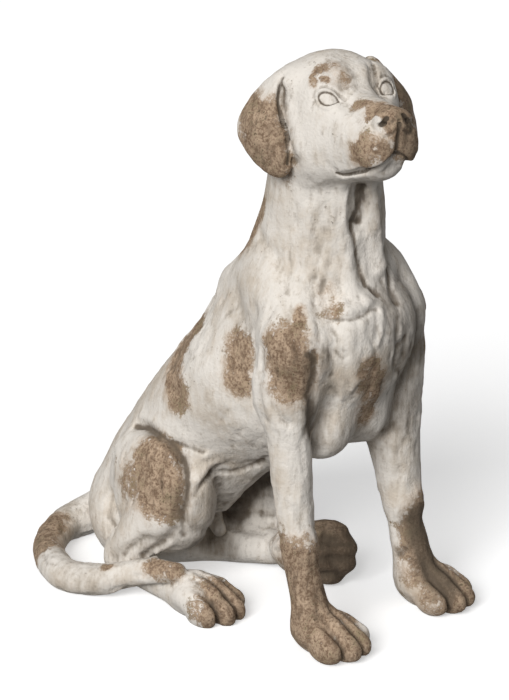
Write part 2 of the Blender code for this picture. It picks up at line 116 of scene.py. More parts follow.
class Clay:
    """A block of space on a grid, which holds the distance from each grid point to the surface."""

    def __init__(self, cell, low, high):
        self.cell = cell
        self.axes = [np.arange(a, b + cell, cell, dtype=np.float32) for a, b in zip(low, high)]
        self.distance = np.full([len(axis) for axis in self.axes], FAR, np.float32)

    def closer(self, low, high, cell):
        """A block of finer clay, which starts as this clay is there."""
        block = Clay(cell, low, high)
        field = self.distance
        for axis, rows in enumerate(block.axes):
            spot = (rows - self.axes[axis][0]) / self.cell
            at = np.clip(np.floor(spot).astype(int), 1, field.shape[axis] - 3)
            t = (spot - at).reshape([-1 if other == axis else 1 for other in range(3)])
            a, b, c, d = (np.take(field, at + shift, axis=axis) for shift in (-1, 0, 1, 2))
            field = between(a, b, c, d, t).astype(np.float32)
        block.distance = field
        return block

    def at_points(self, field, points):
        """A field's values at some points, between the grid points beside each."""
        low = np.array([axis[0] for axis in self.axes])
        spot = (points - low) / self.cell
        at = np.clip(np.floor(spot).astype(int), 0, np.array(field.shape) - 2)
        part = np.clip(spot - at, 0.0, 1.0)
        total = np.zeros(len(points))
        for corner in np.ndindex(2, 2, 2):
            share = np.prod(np.where(corner, part, 1.0 - part), axis=1)
            total += share * field[tuple((at + corner).T)]
        return total

    def read(self, points):
        """The distance at some points, and the way in which it grows."""
        slope = []
        for axis in np.eye(3):
            ahead, behind = (self.at_points(self.distance, points + side * self.cell * axis)
                             for side in (0.5, -0.5))
            slope.append((ahead - behind) / self.cell)
        return self.at_points(self.distance, points), np.stack(slope, 1)

    def bend(self, points, reach):
        """How the surface bends at some points, over so many cells: above 0 on ridges, below 0 in hollows."""
        middle = self.at_points(self.distance, points)
        total = -6.0 * middle
        for axis in np.eye(3):
            for side in (-1.0, 1.0):
                total += self.at_points(self.distance, points + side * reach * self.cell * axis)
        return total / (reach * self.cell) ** 2

    def near(self, place, points, reach):
        """The part of the grid within reach of some points of a place, and its coordinates there."""
        spots = np.array([place @ Vector(point) for point in points])
        cut = []
        for axis, low, high in zip(self.axes, spots.min(0) - reach, spots.max(0) + reach):
            cut.append(slice(*np.searchsorted(axis, (low, high))))
        grid = np.meshgrid(*(axis[part] for axis, part in zip(self.axes, cut)), indexing="ij", sparse=True)
        back = np.array(place.inverted(), np.float32)
        local = [row[0] * grid[0] + row[1] * grid[1] + row[2] * grid[2] + row[3] for row in back[:3]]
        return tuple(cut), local

    def add(self, cut, distance, blend):
        """Lays a mass on the rest. It melts into the rest over the width of blend."""
        old = self.distance[cut]
        melt = np.maximum(blend - np.abs(old - distance), 0.0)
        self.distance[cut] = np.minimum(old, distance) - melt * melt / (4.0 * blend)

    def egg(self, place, centre, radii, blend, turn=(0.0, 0.0, 0.0)):
        """An ellipsoid with its own turn (roll, pitch, yaw) in its place."""
        own = Euler([math.radians(angle) for angle in turn], "XYZ").to_matrix().to_4x4()
        cut, local = self.near(place @ Matrix.Translation(centre) @ own, [(0.0, 0.0, 0.0)],
                               max(radii) + 2.0 * blend)
        near = np.sqrt(sum((axis / r) ** 2 for axis, r in zip(local, radii)))
        slope = np.sqrt(sum((axis / r ** 2) ** 2 for axis, r in zip(local, radii)))
        distance = np.maximum(near, 1e-3) * (near - 1.0) / np.maximum(slope, 1e-3 / max(radii))
        self.add(cut, distance, blend)

    def limb(self, place, spots, blend, wide=1.0, across=(1.0, 0.0, 0.0)):
        """A round limb along a smooth line through spots (x, y, z, radius).

        In the direction across it is wide times as thick.
        """
        line = smooth_line(spots, steps=8)
        cut, local = self.near(place, line[:, :3], line[:, 3].max() * max(wide, 1.0) + 2.0 * blend)
        distance = FAR
        for one, two in zip(line, line[1:]):
            (x, y, z), along = off_segment(local, one[:3], two[:3])
            side = x * across[0] + y * across[1] + z * across[2]
            round_off = np.sqrt(np.maximum(x * x + y * y + z * z + (1.0 / wide ** 2 - 1.0) * side ** 2, 0.0))
            distance = np.minimum(distance, round_off - one[3] - along * (two[3] - one[3]))
        self.add(cut, distance, blend)

    def settled(self, place, line):
        """The points of a line, each moved to the nearest surface."""
        low = np.array([axis[0] for axis in self.axes])
        line = np.array([place @ Vector(point) for point in line])
        for _ in range(6):
            at = np.clip(np.rint((line - low) / self.cell).astype(int), 1, np.array(self.distance.shape) - 2)
            here = self.distance[tuple(at.T)]
            slope = np.stack([self.distance[tuple((at + step).T)] - self.distance[tuple((at - step).T)]
                              for step in np.eye(3, dtype=int)], 1) / (2.0 * self.cell)
            off = here + ((line - low - at * self.cell) * slope).sum(1)
            line -= 0.7 * (off / np.maximum((slope ** 2).sum(1), 0.2))[:, None] * slope
        back = place.inverted()
        return np.array([back @ Vector(point) for point in line])

    def stroke(self, place, spots, width, rise):
        """Draws a round tool along the surface near a line.

        The surface swells there, or sinks where rise is below 0.
        """
        line = self.settled(place, smooth_line(spots))
        cut, local = self.near(place, line, 1.3 * width)
        nearest = FAR ** 2
        for one, two in zip(line, line[1:]):
            (x, y, z), _ = off_segment(local, one, two)
            nearest = np.minimum(nearest, x * x + y * y + z * z)
        self.distance[cut] -= rise * np.exp(-nearest / (0.5 * width) ** 2)

    def strokes(self, place, rows, side=1):
        """Draws some strokes, each a row of its line, width and rise. A side of -1 mirrors them."""
        for spots, width, rise in rows:
            self.stroke(place, mirrored(spots, side), width, rise)

    def flap(self, place, outline, thickness, bow, blend):
        """A flap with round edges in a place's XZ plane, inside a smooth outline of (x, z) corners.

        bow(x, z) says how far along Y it bends out there.
        """
        edge = smooth_line(outline + outline[:1], closed=True)
        cut, (x, y, z) = self.near(place, [(a, bow(a, b), b) for a, b in edge], thickness + 2.0 * blend)
        rim = np.full(np.broadcast_shapes(x.shape, y.shape, z.shape), FAR ** 2, np.float32)
        inside = np.zeros(rim.shape, bool)
        for (ax, az), (bx, bz) in zip(edge, edge[1:]):
            dx, dz = bx - ax, bz - az
            along = np.clip(((x - ax) * dx + (z - az) * dz) / max(dx * dx + dz * dz, 1e-6), 0.0, 1.0)
            rim = np.minimum(rim, (x - ax - along * dx) ** 2 + (z - az - along * dz) ** 2)
            if az != bz:
                inside ^= ((z < az) != (z < bz)) & (x < ax + (z - az) * dx / dz)
        half = 0.5 * thickness
        rim = np.sqrt(rim) * np.where(inside, -1.0, 1.0) + half
        beside = np.abs(y - bow(x, z))
        self.add(cut, np.hypot(np.maximum(rim, 0.0), beside) - half, blend)

    def soften(self):
        """Rubs the whole figure down: each spot takes the mean of those beside it."""
        for axis in range(3):
            rows = np.moveaxis(self.distance, axis, 0)
            rows[1:-1] = 0.25 * (rows[:-2] + rows[2:]) + 0.5 * rows[1:-1]

    def untangle(self):
        """Fills the spots where two folds would touch only along an edge or at a corner of the grid."""
        for _ in range(12):
            inside = self.distance < 0.0
            tangled = np.zeros(inside.shape, bool)
            for axis in range(3):
                side = np.moveaxis(inside, axis, 0)
                marks = np.moveaxis(tangled, axis, 0)
                a, b, c, d = side[:, :-1, :-1], side[:, 1:, :-1], side[:, :-1, 1:], side[:, 1:, 1:]
                crossed = (a == d) & (b == c) & (a != b)
                for u in (0, 1):
                    for v in (0, 1):
                        size = crossed.shape
                        marks[:, u:size[1] + u, v:size[2] + v] |= crossed
            if not tangled.any():
                break
            self.distance[tangled] = np.minimum(self.distance[tangled], -0.1 * self.cell)

    def surface(self):
        """The surface as points and four-sided faces: one point in each cell that it crosses."""
        self.untangle()
        inside = self.distance < 0.0
        shape = [size - 1 for size in inside.shape]
        spot = np.zeros([3] + shape, np.float32)
        count = np.zeros(shape, np.float32)
        for axis in range(3):
            first, second = (other for other in range(3) if other != axis)
            for u in (0, 1):
                for v in (0, 1):
                    shift = [0, 0, 0]
                    shift[first], shift[second] = u, v
                    start = tuple(slice(s, s + size) for s, size in zip(shift, shape))
                    shift[axis] = 1
                    stop = tuple(slice(s, s + size) for s, size in zip(shift, shape))
                    crosses = inside[start] != inside[stop]
                    a, b = self.distance[start], self.distance[stop]
                    count += crosses
                    spot[first] += crosses * u
                    spot[second] += crosses * v
                    spot[axis] += np.where(crosses, a / np.where(crosses, a - b, 1.0), 0.0)
        cells = np.argwhere(count > 0)
        where = tuple(cells.T)
        low = np.array([axis[0] for axis in self.axes])
        points = low + self.cell * (cells + (spot[:, *where] / count[where]).T)
        name = np.full(shape, -1, np.int32)
        name[where] = np.arange(len(cells))
        faces = []
        for axis in range(3):
            first, second = (axis + 1) % 3, (axis + 2) % 3
            start = [slice(1, -1)] * 3
            stop = [slice(1, -1)] * 3
            start[axis], stop[axis] = slice(0, -1), slice(1, None)
            leaves = inside[tuple(start)] & ~inside[tuple(stop)]
            enters = ~inside[tuple(start)] & inside[tuple(stop)]
            for crossing, order in ((leaves, 1), (enters, -1)):
                at = np.argwhere(crossing)
                at[:, first] += 1
                at[:, second] += 1
                ring = []
                for back in ((1, 1), (0, 1), (0, 0), (1, 0)):
                    corner = at.copy()
                    corner[:, first] -= back[0]
                    corner[:, second] -= back[1]
                    ring.append(name[tuple(corner.T)])
                faces.append(np.stack(ring[::order], 1))
        return points, np.concatenate(faces)


def torso(clay):
    """Ribcage, loin and rump on a spine that slopes down to the ground, with the chest in front."""
    clay.egg(BODY, RIBCAGE, (84, 101, 142), 10, (SPINE_SLOPE, 0, 0))
    clay.limb(BODY, [(0, 32, 250, 84), (*LOIN, 76), (0, 168, 104, 69)], 24, 1.07)
    clay.egg(BODY, RUMP, (82, 76, 76), 20)
    clay.limb(BODY, [(-4, 10, 186, 34), (-6, 66, 146, 38), (-6, 100, 96, 30)], 16)
    for side in (-1, 1):
        clay.egg(BODY, (side * 34, -104, 312), (38, 36, 60), 24, (20, 0, 0))
        clay.egg(BODY, (side * 34, -78, 228), (30, 40, 38), 24)


def neck(clay):
    """The neck rises from between the shoulder blades into the skull, deeper than it is wide."""
    clay.limb(BODY, [(0, -38, 370, 76), (2, -51, 425, 69), (-2, -59, 478, 62), (-8, -62, 535, 54)], 24, 0.9)


def shoulders(clay):
    """Shoulder blades and upper arms."""
    for side, top, blade in ((-1, 375, (-52, -48, 362, 31)), (1, 385, (59, -63, 375, 34))):
        point = (side * 66, -84, 328, 38)
        clay.limb(BODY, [(side * 28, 0, top, 20), blade, point], 24)
        clay.limb(BODY, [point, (side * 76, -78, 275, 35)], 20)
    clay.egg(BODY, (-12, 28, 346), (28, 42, 29), 32)


def foreleg(clay, elbow, wrist, ankle, thick, arm):
    """A straight foreleg from its elbow, of the radius arm, down to where it stands in its paw."""
    elbow, wrist, ankle = np.array(elbow), np.array(wrist), np.array(ankle)
    forearm = 0.6 * elbow + 0.4 * wrist
    pastern = 0.4 * wrist + 0.6 * ankle
    spots = [(*elbow, arm), (*forearm, 0.75 * arm), (*wrist, 18 * thick), (*pastern, 18 * thick),
             (*ankle, 20 * thick)]
    clay.limb(BODY, spots, 14)
    clay.egg(BODY, wrist + (0, -4, 2), (18 * thick, 19 * thick, 24), 8)


def paw(clay, place, size=1.0, spread=1.0):
    """A hound's paw: four toes in front of a high back. The place is on the ground under the wrist."""
    place = place @ Matrix.Scale(size, 4)
    clay.egg(place, (18, 0, 22), (38, 26, 27), 12)
    for lean, reach in zip(TOE_LEANS, TOE_REACHES):
        turn = (0, 0, 0.35 * lean)
        clay.egg(place, (reach, lean * spread, 15), (22, 11, 16), 5, turn)
        clay.egg(place, (reach - 18, 0.9 * lean * spread, 25), (24, 9.5, 13), 5, turn)
    for one, two in zip(TOE_LEANS, TOE_LEANS[1:]):
        gap = 0.5 * (one + two) * spread
        tip = 62 - 0.6 * abs(gap)
        clay.stroke(place, [(tip, gap, 6), (tip - 10, gap, 24), (22, 0.8 * gap, 42)], 7, -4)


def hind_leg_right(clay):
    """The right hind leg sits folded: thigh on the flank, shank down and back, foot flat on the ground."""
    clay.egg(BODY, (-64, 124, 106), (42, 66, 74), 10, (-12, 0, 0))
    clay.egg(BODY, KNEE_RIGHT, (34, 44, 60), 30, (-12, 0, 0))
    clay.limb(BODY, [(-88, 96, 92, 34), (-96, 118, 62, 28), (*HOCK_RIGHT, 23)], 10)
    clay.limb(BODY, [(-94, 152, 22, 22), (-98, 95, 16, 18), (-102, 54, 17, 18)], 6)
    paw(clay, placed((-103, 46, -4), (0, 0, 8)))


def hind_leg_left(clay):
    """The left hind leg lies on its outer side, with its foot drawn in under the belly."""
    clay.egg(BODY, (56, 138, 72), (46, 66, 68), 14)
    clay.limb(BODY, [(70, 110, 60, 42), (72, 82, 44, 33)], 16)
    clay.limb(BODY, [(70, 84, 32, 34), (38, 108, 30, 31), (-8, 132, 22, 24)], 10)
    clay.limb(BODY, [(*HOCK_LEFT, 22), (24, 82, 20, 20), (54, 22, 25, 19)], 8)
    sole = placed((51, 24, 34), (82, 0, 16))
    paw(clay, sole, 1.08, 0.9)
    clay.egg(sole, (44, 0, 12), (23, 28, 13), 8)
    clay.limb(BODY, [(4, 120, 62, 10), (-6, 90, 46, 8)], 8)


def tail(clay):
    """The tail lies on the ground, round the right side, with its tip over the right hind foot."""
    clay.limb(BODY, TAIL, 4)


def skull(clay):
    """The domed skull, brows, cheeks and the deep square muzzle with its flews and lower jaw."""
    left = (0, 1, 0)
    clay.egg(HEAD, (-42, 0, 1), (61, 51, 47), 14)
    clay.limb(HEAD, [(-5, 0, -30, 32), (40, 0, -36, 27), (58, 0, -40, 24)], 18, 1.05, left)
    clay.limb(HEAD, [(4, 0, -15, 20), (66, 0, -26, 15)], 10, 1.1, left)
    clay.limb(HEAD, [(-34, 0, -58, 34), (5, 0, -66, 20), (36, 0, -73, 13), (48, 0, -73, 11)], 12, 1.45, left)
    for side, out in ((-1, 30), (1, 38)):
        clay.egg(HEAD, (-9, side * out, -7), (21, 15, 24), 16)
        clay.egg(HEAD, (-34, side * 33, -40), (40, 23, 42), 16)
        clay.egg(HEAD, (6, side * 24, -44), (40, 17, 34), 16)
        clay.egg(HEAD, (42, side * 17, -49), (36, 17, 20), 10, (0, -12, 0))
        clay.egg(HEAD, (58, side * 15, -55), (17, 15, 16), 8)
    clay.egg(HEAD, (-12, 32, 14), (18, 16, 13), 12)
    clay.egg(HEAD, (-50, -38, 22), (22, 16, 14), 14)
    clay.egg(HEAD, (75, 0, -29), (13, 20, 14), 5)


def face(clay):
    """Eyes between their lids, the stop, nostrils, the groove of the nose and the line of the lips."""
    clay.strokes(HEAD, [
        ([(-6, 0, 44), (4, 0, 28), (10, 0, 10)], 22, -3),
        ([(6, 25, 26), (13, 20, 14), (10, 22, 4)], 9, -5),
        ([(88, 0, -32), (80, 0, -42), (74, 0, -57)], 5, -4)])
    for side in (-1, 1):
        clay.strokes(HEAD, [
            ([(12, 18, 8), (14, 20, -6), (32, 20, -14)], 16, -2),
            ([(5, 43, 1), (10, 34, 2), (14, 25, 0)], 14, -2),
            ([(88, 9, -26), (87, 14, -30), (81, 20, -31)], 6, -5),
            ([(72, 0, -60), (69, 8, -63), (63, 16, -68), (46, 25, -74), (15, 32, -76)], 7, -4)], side)
    for x, y, z, yaw in EYEBALLS:
        clay.egg(HEAD, (x, y, z), (9, 13, 10.5), 1.5, (0, 0, yaw))


def ears(clay):
    """Broad hanging ears: flaps that start on the skull, bulge out behind and lie back on the neck."""

    def bow(x, z):
        down = np.clip((EAR_TOP - z) / EAR_LENGTH, 0.0, 1.0)
        hang = 0.5 - 0.5 * np.cos(np.minimum(1.8 * down, 1.0) * math.pi)
        flare = np.sin(0.86 * down * math.pi)
        back = np.sin(np.clip((-24.0 - x) / 45.0, 0.0, 1.0) * math.pi / 2)
        return 46.0 + 12.0 * hang + 25.0 * back * flare

    clay.flap(HEAD, EAR, 13, lambda x, z: -bow(x, z), 4)

    def bow_left(x, z):
        return 1.31 * bow(x + 4.0, z) - 8.5 + 0.3 * np.maximum(-30.0 - z, 0.0)

    raised = HEAD @ Matrix.Translation((0, 0, 1))
    clay.flap(raised, EAR, 13, bow_left, 8)
    for side, place in ((-1, HEAD), (1, raised)):
        clay.egg(place, (-60, side * 49, -20), (22, 18, 34), 14)
        front = [(-43, 56, 14), (-38, 60, 0), (-32, 64, -14), (-28, 65, -31), (-25, 64, -46), (-25, 62, -60)]
        clay.strokes(place, [(front, 9, -5)], side)


def folds(clay):
    """The folds of skin and the hollows between the muscles."""
    clay.strokes(BODY, [
        ([(-73, 148, 171), (-79, 123, 177), (-85, 94, 181), (-85, 79, 176), (-86, 66, 164), (-89, 58, 147),
          (-95, 55, 127), (-101, 58, 104)], 13, -8),
        ([(-85, 82, 177), (-79, 62, 178), (-72, 48, 173)], 10, -3),
        ([(-64, 56, 140), (-58, 43, 147), (-44, 22, 151), (-34, 2, 157)], 14, -4),
        ([(-117, 142, 32), (-118, 117, 52), (-112, 92, 72)], 13, -6),
        ([(-95, 176, 118), (-98, 180, 80), (-90, 182, 44)], 18, -6),
        ([(-20, -121, 494), (-16, -121, 476), (-17, -119, 446)], 15, -11),
        ([(-17, -119, 450), (-8, -125, 420), (0, -138, 385)], 26, -5),
        ([(-36, -112, 492), (-32, -112, 466), (-30, -113, 438), (-24, -115, 411)], 13, 4),
        ([(2, -122, 490), (3, -123, 462), (8, -122, 430), (16, -122, 400)], 13, 4),
        ([(-28, -113, 440), (-22, -115, 411), (-14, -124, 385)], 9, -3)])
    for side in (-1, 1):
        clay.stroke(BODY, [(side * 62, -108, 372), (side * 62, -128, 335), (side * 56, -122, 290),
                           (side * 54, -110, 250), (side * 52, -96, 215)], 20, -7)
        clay.stroke(BODY, [(side * 82, -38, 352), (side * 86, -30, 322), (side * 84, -36, 296),
                           (side * 78, -48, 262)], 20, -7)
    clay.stroke(BODY, [(0, -145, 350), (0, -148, 310), (0, -135, 265)], 28, 3)


def dog(clay):
    """The whole figure."""
    torso(clay)
    neck(clay)
    shoulders(clay)
    foreleg(clay, (-79, -76, 282), (-88, -104, 112), (-85, -120, 40), 1.0, 31)
    paw(clay, placed((-80, -112, 0), (0, 0, 8)))
    foreleg(clay, (68, -80, 280), (75, -104, 112), (77, -122, 40), 1.12, 44)
    paw(clay, placed((82, -116, 0), (0, 0, 10)))
    hind_leg_right(clay)
    hind_leg_left(clay)
    tail(clay)
    clay.soften()
    skull(clay)
    folds(clay)
    face(clay)
    ears(clay)


def loop(centre, across, up, turns=28):
    """A closed almond loop round a centre. across reaches its inner corner and up its top."""
    centre, across, up = (np.array(row, float) for row in (centre, across, up))
    spots = []
    for turn in np.linspace(0.0, 2.0 * math.pi, turns):
        squeeze = 1.0 - 0.25 * abs(math.cos(turn)) ** 3
        spots.append(centre + across * math.cos(turn) + up * math.sin(turn) * squeeze)
    return spots


EYE_SPOTS = (((10.4, -33.7, 0.0), (4.8, 8.3, -2.3)), ((10.8, 34.6, 1.7), (1.9, -8.6, 0.2)))


def eye(clay, side):
    """A blank eyeball in a thin raised rim, with the fold of the upper lid above it."""
    middle, across = (np.array(row) for row in EYE_SPOTS[side > 0])
    up = np.array((-0.8, 0.0, 6.8))
    clay.stroke(HEAD, loop(middle, 1.75 * across, 2.0 * up)[1:14], 4.0, -1.6)
    clay.stroke(HEAD, loop(middle, 1.3 * across, 1.38 * up), 4.0, 1.8)
    clay.stroke(HEAD, loop(middle, 1.05 * across, 1.05 * up), 2.6, -3.8)
    outer = middle - 1.3 * across
    clay.stroke(HEAD, [outer, outer + (-3, side * 3, -5), outer + (-5, side * 4, -10)], 3.2, -1.5)
    inner = middle + 1.15 * across
    clay.stroke(HEAD, [inner, inner + (2, -side * 1.5, -1.5)], 3.2, -2.2)


def nose(clay):
    """The nose pad with its comma-shaped nostrils, and the wings beside them."""
    for side in (-1, 1):
        clay.strokes(HEAD, [([(72, 17, -14), (80, 18, -20), (81, 20, -28)], 7, 1.0)], side)
        pit = np.array((83, side * 12 - 2, -25))
        clay.stroke(HEAD, [pit + (2, -side * 2, 3), pit, pit + (-2, side, -3)], 5, -6)
        clay.stroke(HEAD, [pit + (-1, side, -3), pit + (-4, side * 4, -4)], 3.8, -4)
        clay.strokes(HEAD, [
            ([(85, 13, -31), (81, 18, -35), (73, 21, -33), (67, 20, -24)], 4.5, -1.8),
            ([(84, 5, -37), (76, 14, -40), (66, 20, -38)], 4.5, -1.6)], side)
    clay.strokes(HEAD, [
        ([(64, -13, -13), (62, 0, -11), (64, 13, -13)], 6, -1.0),
        ([(89, 0, -27), (86, 0, -35), (78, 0, -44), (73, 0, -57)], 3.6, -4.5)])


LIP_LINE = [(70, 0, -59), (71, 7, -62), (69, 13, -65), (60, 18, -69), (47, 21, -72), (31, 25, -75),
            (15, 30, -76)]


def lips(clay):
    """The flews meet the chin in one dark line, which ends in a fold at the corner of the mouth."""
    for side in (-1, 1):
        clay.strokes(HEAD, [
            (LIP_LINE, 3.6, -4.5),
            ([(72, 11, -57), (66, 18, -62), (50, 25, -66), (32, 30, -70)], 7, 1.0),
            ([(60, 11, -73), (46, 17, -78), (28, 22, -81)], 6, 1.0),
            ([(15, 31, -76), (12, 34, -73), (15, 35, -69)], 4.2, -2.4),
            ([(14, 37, -70), (8, 38, -62), (2, 42, -52)], 8, -0.9)], side)
    for row, count in ((-44, 3), (-50, 4), (-56, 3)):
        for place in range(count):
            for side in (-1, 1):
                spot = (72 - 6.0 * place, side * (20 + 2.0 * place), row)
                clay.stroke(HEAD, [spot, (spot[0] + 0.5, spot[1], spot[2])], 2.8, -0.9)


def brow(clay):
    """The crease of the stop beside the left eye, and the faint furrows of the forehead."""
    clay.strokes(HEAD, [
        ([(-3, 31, 31), (1, 28, 26), (7, 25, 17), (10, 24, 9)], 3.6, -6),
        ([(-2, -26, 26), (6, -20, 18), (11, -18, 8)], 10, -1.0),
        ([(14, -16, 0), (22, -17, -9), (34, -19, -17), (48, -20, -25)], 11, -0.9),
        ([(-12, 0, 42), (0, 0, 32), (10, 0, 18)], 8, -1.0)])


def face_relief(clay):
    """All that is finer than the cast's main forms on the face."""
    brow(clay)
    for side in (-1, 1):
        eye(clay, side)
    nose(clay)
    lips(clay)
    ear_edges(clay)


THROAT_FOLD = [(-12, -116, 488), (-11, -115, 469), (-10, -114, 451)]
NECK_FOLD = [(-18, -110, 449), (-16, -114, 424), (-13, -117, 402), (-10, -123, 386), (0, -131, 374)]
LEFT_NECK_FOLD = [(30, -108, 410), (28, -116, 386), (21, -131, 375), (22, -139, 362)]
COLLAR_FOLD = [(-55, -122, 359), (-43, -136, 360), (-30, -138, 361), (-19, -139, 364), (-12, -139, 363)]
CHEST_FOLD = [(-86, -123, 330), (-85, -119, 300), (-80, -114, 265), (-70, -104, 235)]
FLANK_FOLD = [(-85, 81, 177), (-81, 63, 175), (-72, 51, 170)]
BELLY_FOLD = [(-88, 50, 126), (-79, 45, 137), (-62, 51, 141), (-48, 45, 142), (-40, 37, 141), (-34, 22, 149),
              (-31, 8, 158)]
NECK_AND_CHEST = [
    (THROAT_FOLD, 6.5, -10.5),
    ([(-27, -117, 491), (-33, -115, 475), (-31, -114, 452)], 7, 2.7),
    (NECK_FOLD, 6, -3.9),
    ([(-25, -114, 446), (-23, -114, 420), (-20, -118, 398)], 8, 2.4),
    ([(5, -124, 474), (7, -123, 450), (12, -121, 434), (19, -122, 402)], 9, 3.3),
    ([(8, -124, 436), (12, -122, 428)], 6, -3.9),
    (LEFT_NECK_FOLD, 8, -5.1),
    ([(-47, -102, 390), (-50, -108, 377), (-53, -112, 368)], 17, -6.0),
    ([(-56, -94, 396), (-58, -98, 384), (-60, -101, 371)], 6, -3.6),
    ([(-54, -104, 470), (-52, -104, 440), (-50, -106, 410)], 14, -2.4),
    ([(-66, -92, 470), (-66, -88, 430), (-64, -92, 396)], 12, 1.8),
    (COLLAR_FOLD, 6, -4.5),
    ([(-46, -128, 366), (-30, -134, 369), (-16, -136, 372)], 9, 2.7),
    ([(-8, -141, 361), (-12, -147, 340), (-18, -147, 328)], 7, 3.3),
    ([(-61, -129, 328), (-56, -133, 321), (-53, -137, 324), (-56, -134, 330)], 5, -3.0),
    ([(-72, -113, 360), (-78, -124, 343), (-70, -128, 329), (-63, -128, 318), (-61, -124, 301)], 6, -4.2),
    ([(-86, -121, 342), (-80, -125, 336), (-75, -127, 331)], 5, -3.6),
    ([(-86, -123, 330), (-79, -127, 326)], 5, -3.0),
    (CHEST_FOLD, 9, -6.0),
    ([(27, -147, 325), (12, -147, 312), (18, -142, 290), (34, -134, 280)], 7, -3.0),
    ([(-56, -20, 425), (-64, -48, 408), (-75, -72, 384), (-93, -95, 362)], 14, -3.3),
    ([(-116, -70, 330), (-112, -66, 290), (-109, -75, 253)], 14, -3.0),
    ([(-81, 12, 356), (-82, -9, 335), (-83, -11, 313), (-85, -12, 289)], 26, -3.6),
    ([(-50, 92, 296), (-58, 100, 268), (-74, 93, 247), (-84, 78, 231)], 22, -3.0),
]
HAUNCHES = [
    ([(-72, 152, 171), (-77, 127, 177), (-88, 98, 178), (-89, 78, 173), (-88, 65, 162)], 6, -5.4),
    ([(-69, 146, 183), (-80, 113, 186), (-82, 70, 178), (-71, 48, 169)], 10, 3.0),
    ([(-88, 64, 160), (-88, 57, 147), (-94, 51, 126), (-99, 54, 102), (-95, 58, 80)], 7, -6.0),
    (FLANK_FOLD, 6, -3.5),
    (BELLY_FOLD + [(-39, -12, 172)], 6, -4.2),
    ([(-60, 51, 141), (-55, 50, 147), (-52, 45, 152)], 5, -3.2),
    ([(-84, 40, 144), (-66, 44, 151), (-48, 36, 152), (-40, 22, 158)], 9, 2.6),
    ([(-25, 8, 147), (-18, 29, 128), (-14, 48, 110), (-10, 64, 91), (-6, 78, 70)], 8, 2.4),
    ([(-52, 52, 128), (-40, 54, 112), (-30, 66, 88)], 14, -3.0),
    ([(-88, 66, 98), (-70, 70, 84), (-46, 78, 70)], 12, -3.0),
    ([(-80, 182, 84), (-82, 186, 60), (-88, 176, 42)], 9, -3.9),
    ([(-114, 100, 46), (-106, 76, 68), (-104, 60, 87)], 8, -6.0),
    ([(-117, 128, 40), (-118, 112, 58), (-116, 96, 74)], 7, -3.6),
    ([(-110, 108, 36), (-106, 84, 50), (-104, 68, 66)], 7, 3.3),
    ([(40, 69, 56), (48, 58, 56), (56, 48, 54)], 7, -3.9),
    ([(12, 88, 42), (22, 72, 40), (30, 56, 38)], 8, -2.7),
    ([(20, 84, 64), (34, 74, 64), (48, 62, 62)], 7, 2.7),
]
FOLD_WANDER = 1.7
FOLD_LUMPS = (9.0, 9.0, 9.0)


def skin(clay):
    """Finer folds of the skin, whose lines wander a little."""
    scratches = [([(-60 + shift, -128, 470 - shift), (-56 + shift, -124, 452 - shift)], 5, -1.5)
                 for shift in (0.0, 9.0, 18.0)]
    for spots, width, rise in NECK_AND_CHEST + scratches + HAUNCHES:
        line = smooth_line(spots)
        wander = np.stack([lumps(line, FOLD_LUMPS, seed) for seed in (21, 22, 23)], 1)
        clay.stroke(BODY, line + FOLD_WANDER * wander, width, rise)


HAIR_LAYS = [
    ((-80, -125, 375), (25, -60, 485), (-0.1, 0.0, -1.0), 90),
    ((-75, -150, 250), (45, -110, 375), (0.25, 0.0, -1.0), 70),
    ((-118, -120, 230), (-78, -40, 365), (0.0, -0.2, -1.0), 45),
    ((78, -120, 230), (118, -40, 365), (0.0, -0.2, -1.0), 30),
    ((-95, -30, 200), (-40, 130, 350), (0.0, 0.5, -0.8), 60),
    ((40, -30, 200), (95, 130, 350), (0.0, 0.5, -0.8), 40),
    ((-60, 0, 250), (60, 140, 420), (0.0, 0.7, -0.6), 40),
    ((-120, 60, 60), (-75, 190, 175), (0.0, 0.2, -1.0), 40),
    ((-40, -20, 40), (60, 120, 110), (-0.5, 0.7, 0.0), 50),
    ((-105, -130, 100), (-60, -80, 230), (0.0, -0.1, -1.0), 40),
    ((55, -140, 90), (100, -80, 230), (0.0, -0.1, -1.0), 40),
]


EAR_EDGE = [(-42, 53, 24), (-44, 57, 15), (-43, 61, 4), (-41, 62, -13), (-37, 62, -26), (-33, 63, -37),
            (-29, 63, -49), (-28, 63, -59)]


def mirrored(spots, side):
    """The points of a line of the head on one side of it: -1 for the right and 1 for the left."""
    return [(x, side * y, z) for x, y, z in spots]


def ear_edges(clay):
    """The front edges of the ears stand clear of the cheeks, over a dark narrow gap."""
    for side in (-1, 1):
        clay.strokes(HEAD, [
            ([(-36, 56, 18), (-32, 60, 2), (-27, 61, -13), (-24, 61, -30), (-22, 61, -46)], 11, 5.5),
            ([(-50, 60, 14), (-49, 66, 0), (-47, 69, -14), (-43, 71, -28), (-38, 72, -42), (-35, 70, -56)],
             9, 1.8),
            (EAR_EDGE, 4.6, -4.5)], side)


def tool_marks(clay):
    """Short strokes of the modelling tool, laid like hair."""
    chance = np.random.default_rng(11)
    for low, high, lay, count in HAIR_LAYS:
        for spot in chance.uniform(low, high, (count, 3)):
            reach = chance.uniform(5.0, 11.0) * (np.array(lay) + chance.uniform(-0.25, 0.25, 3))
            bow = chance.uniform(-1.5, 1.5, 3)
            rise = chance.choice((-1.5, -1.0, 1.1))
            clay.stroke(BODY, [spot - reach, spot + bow, spot + reach], chance.uniform(4.5, 8.0), rise)
    tail_line = smooth_line(TAIL)
    for one, two in zip(tail_line[2:], tail_line[4:]):
        for _ in range(3):
            around = chance.uniform(-1.0, 1.0, 3) * one[3]
            clay.stroke(BODY, [one[:3] + around, two[:3] + around], 5.0, chance.choice((-1.4, -0.9, 1.0)))


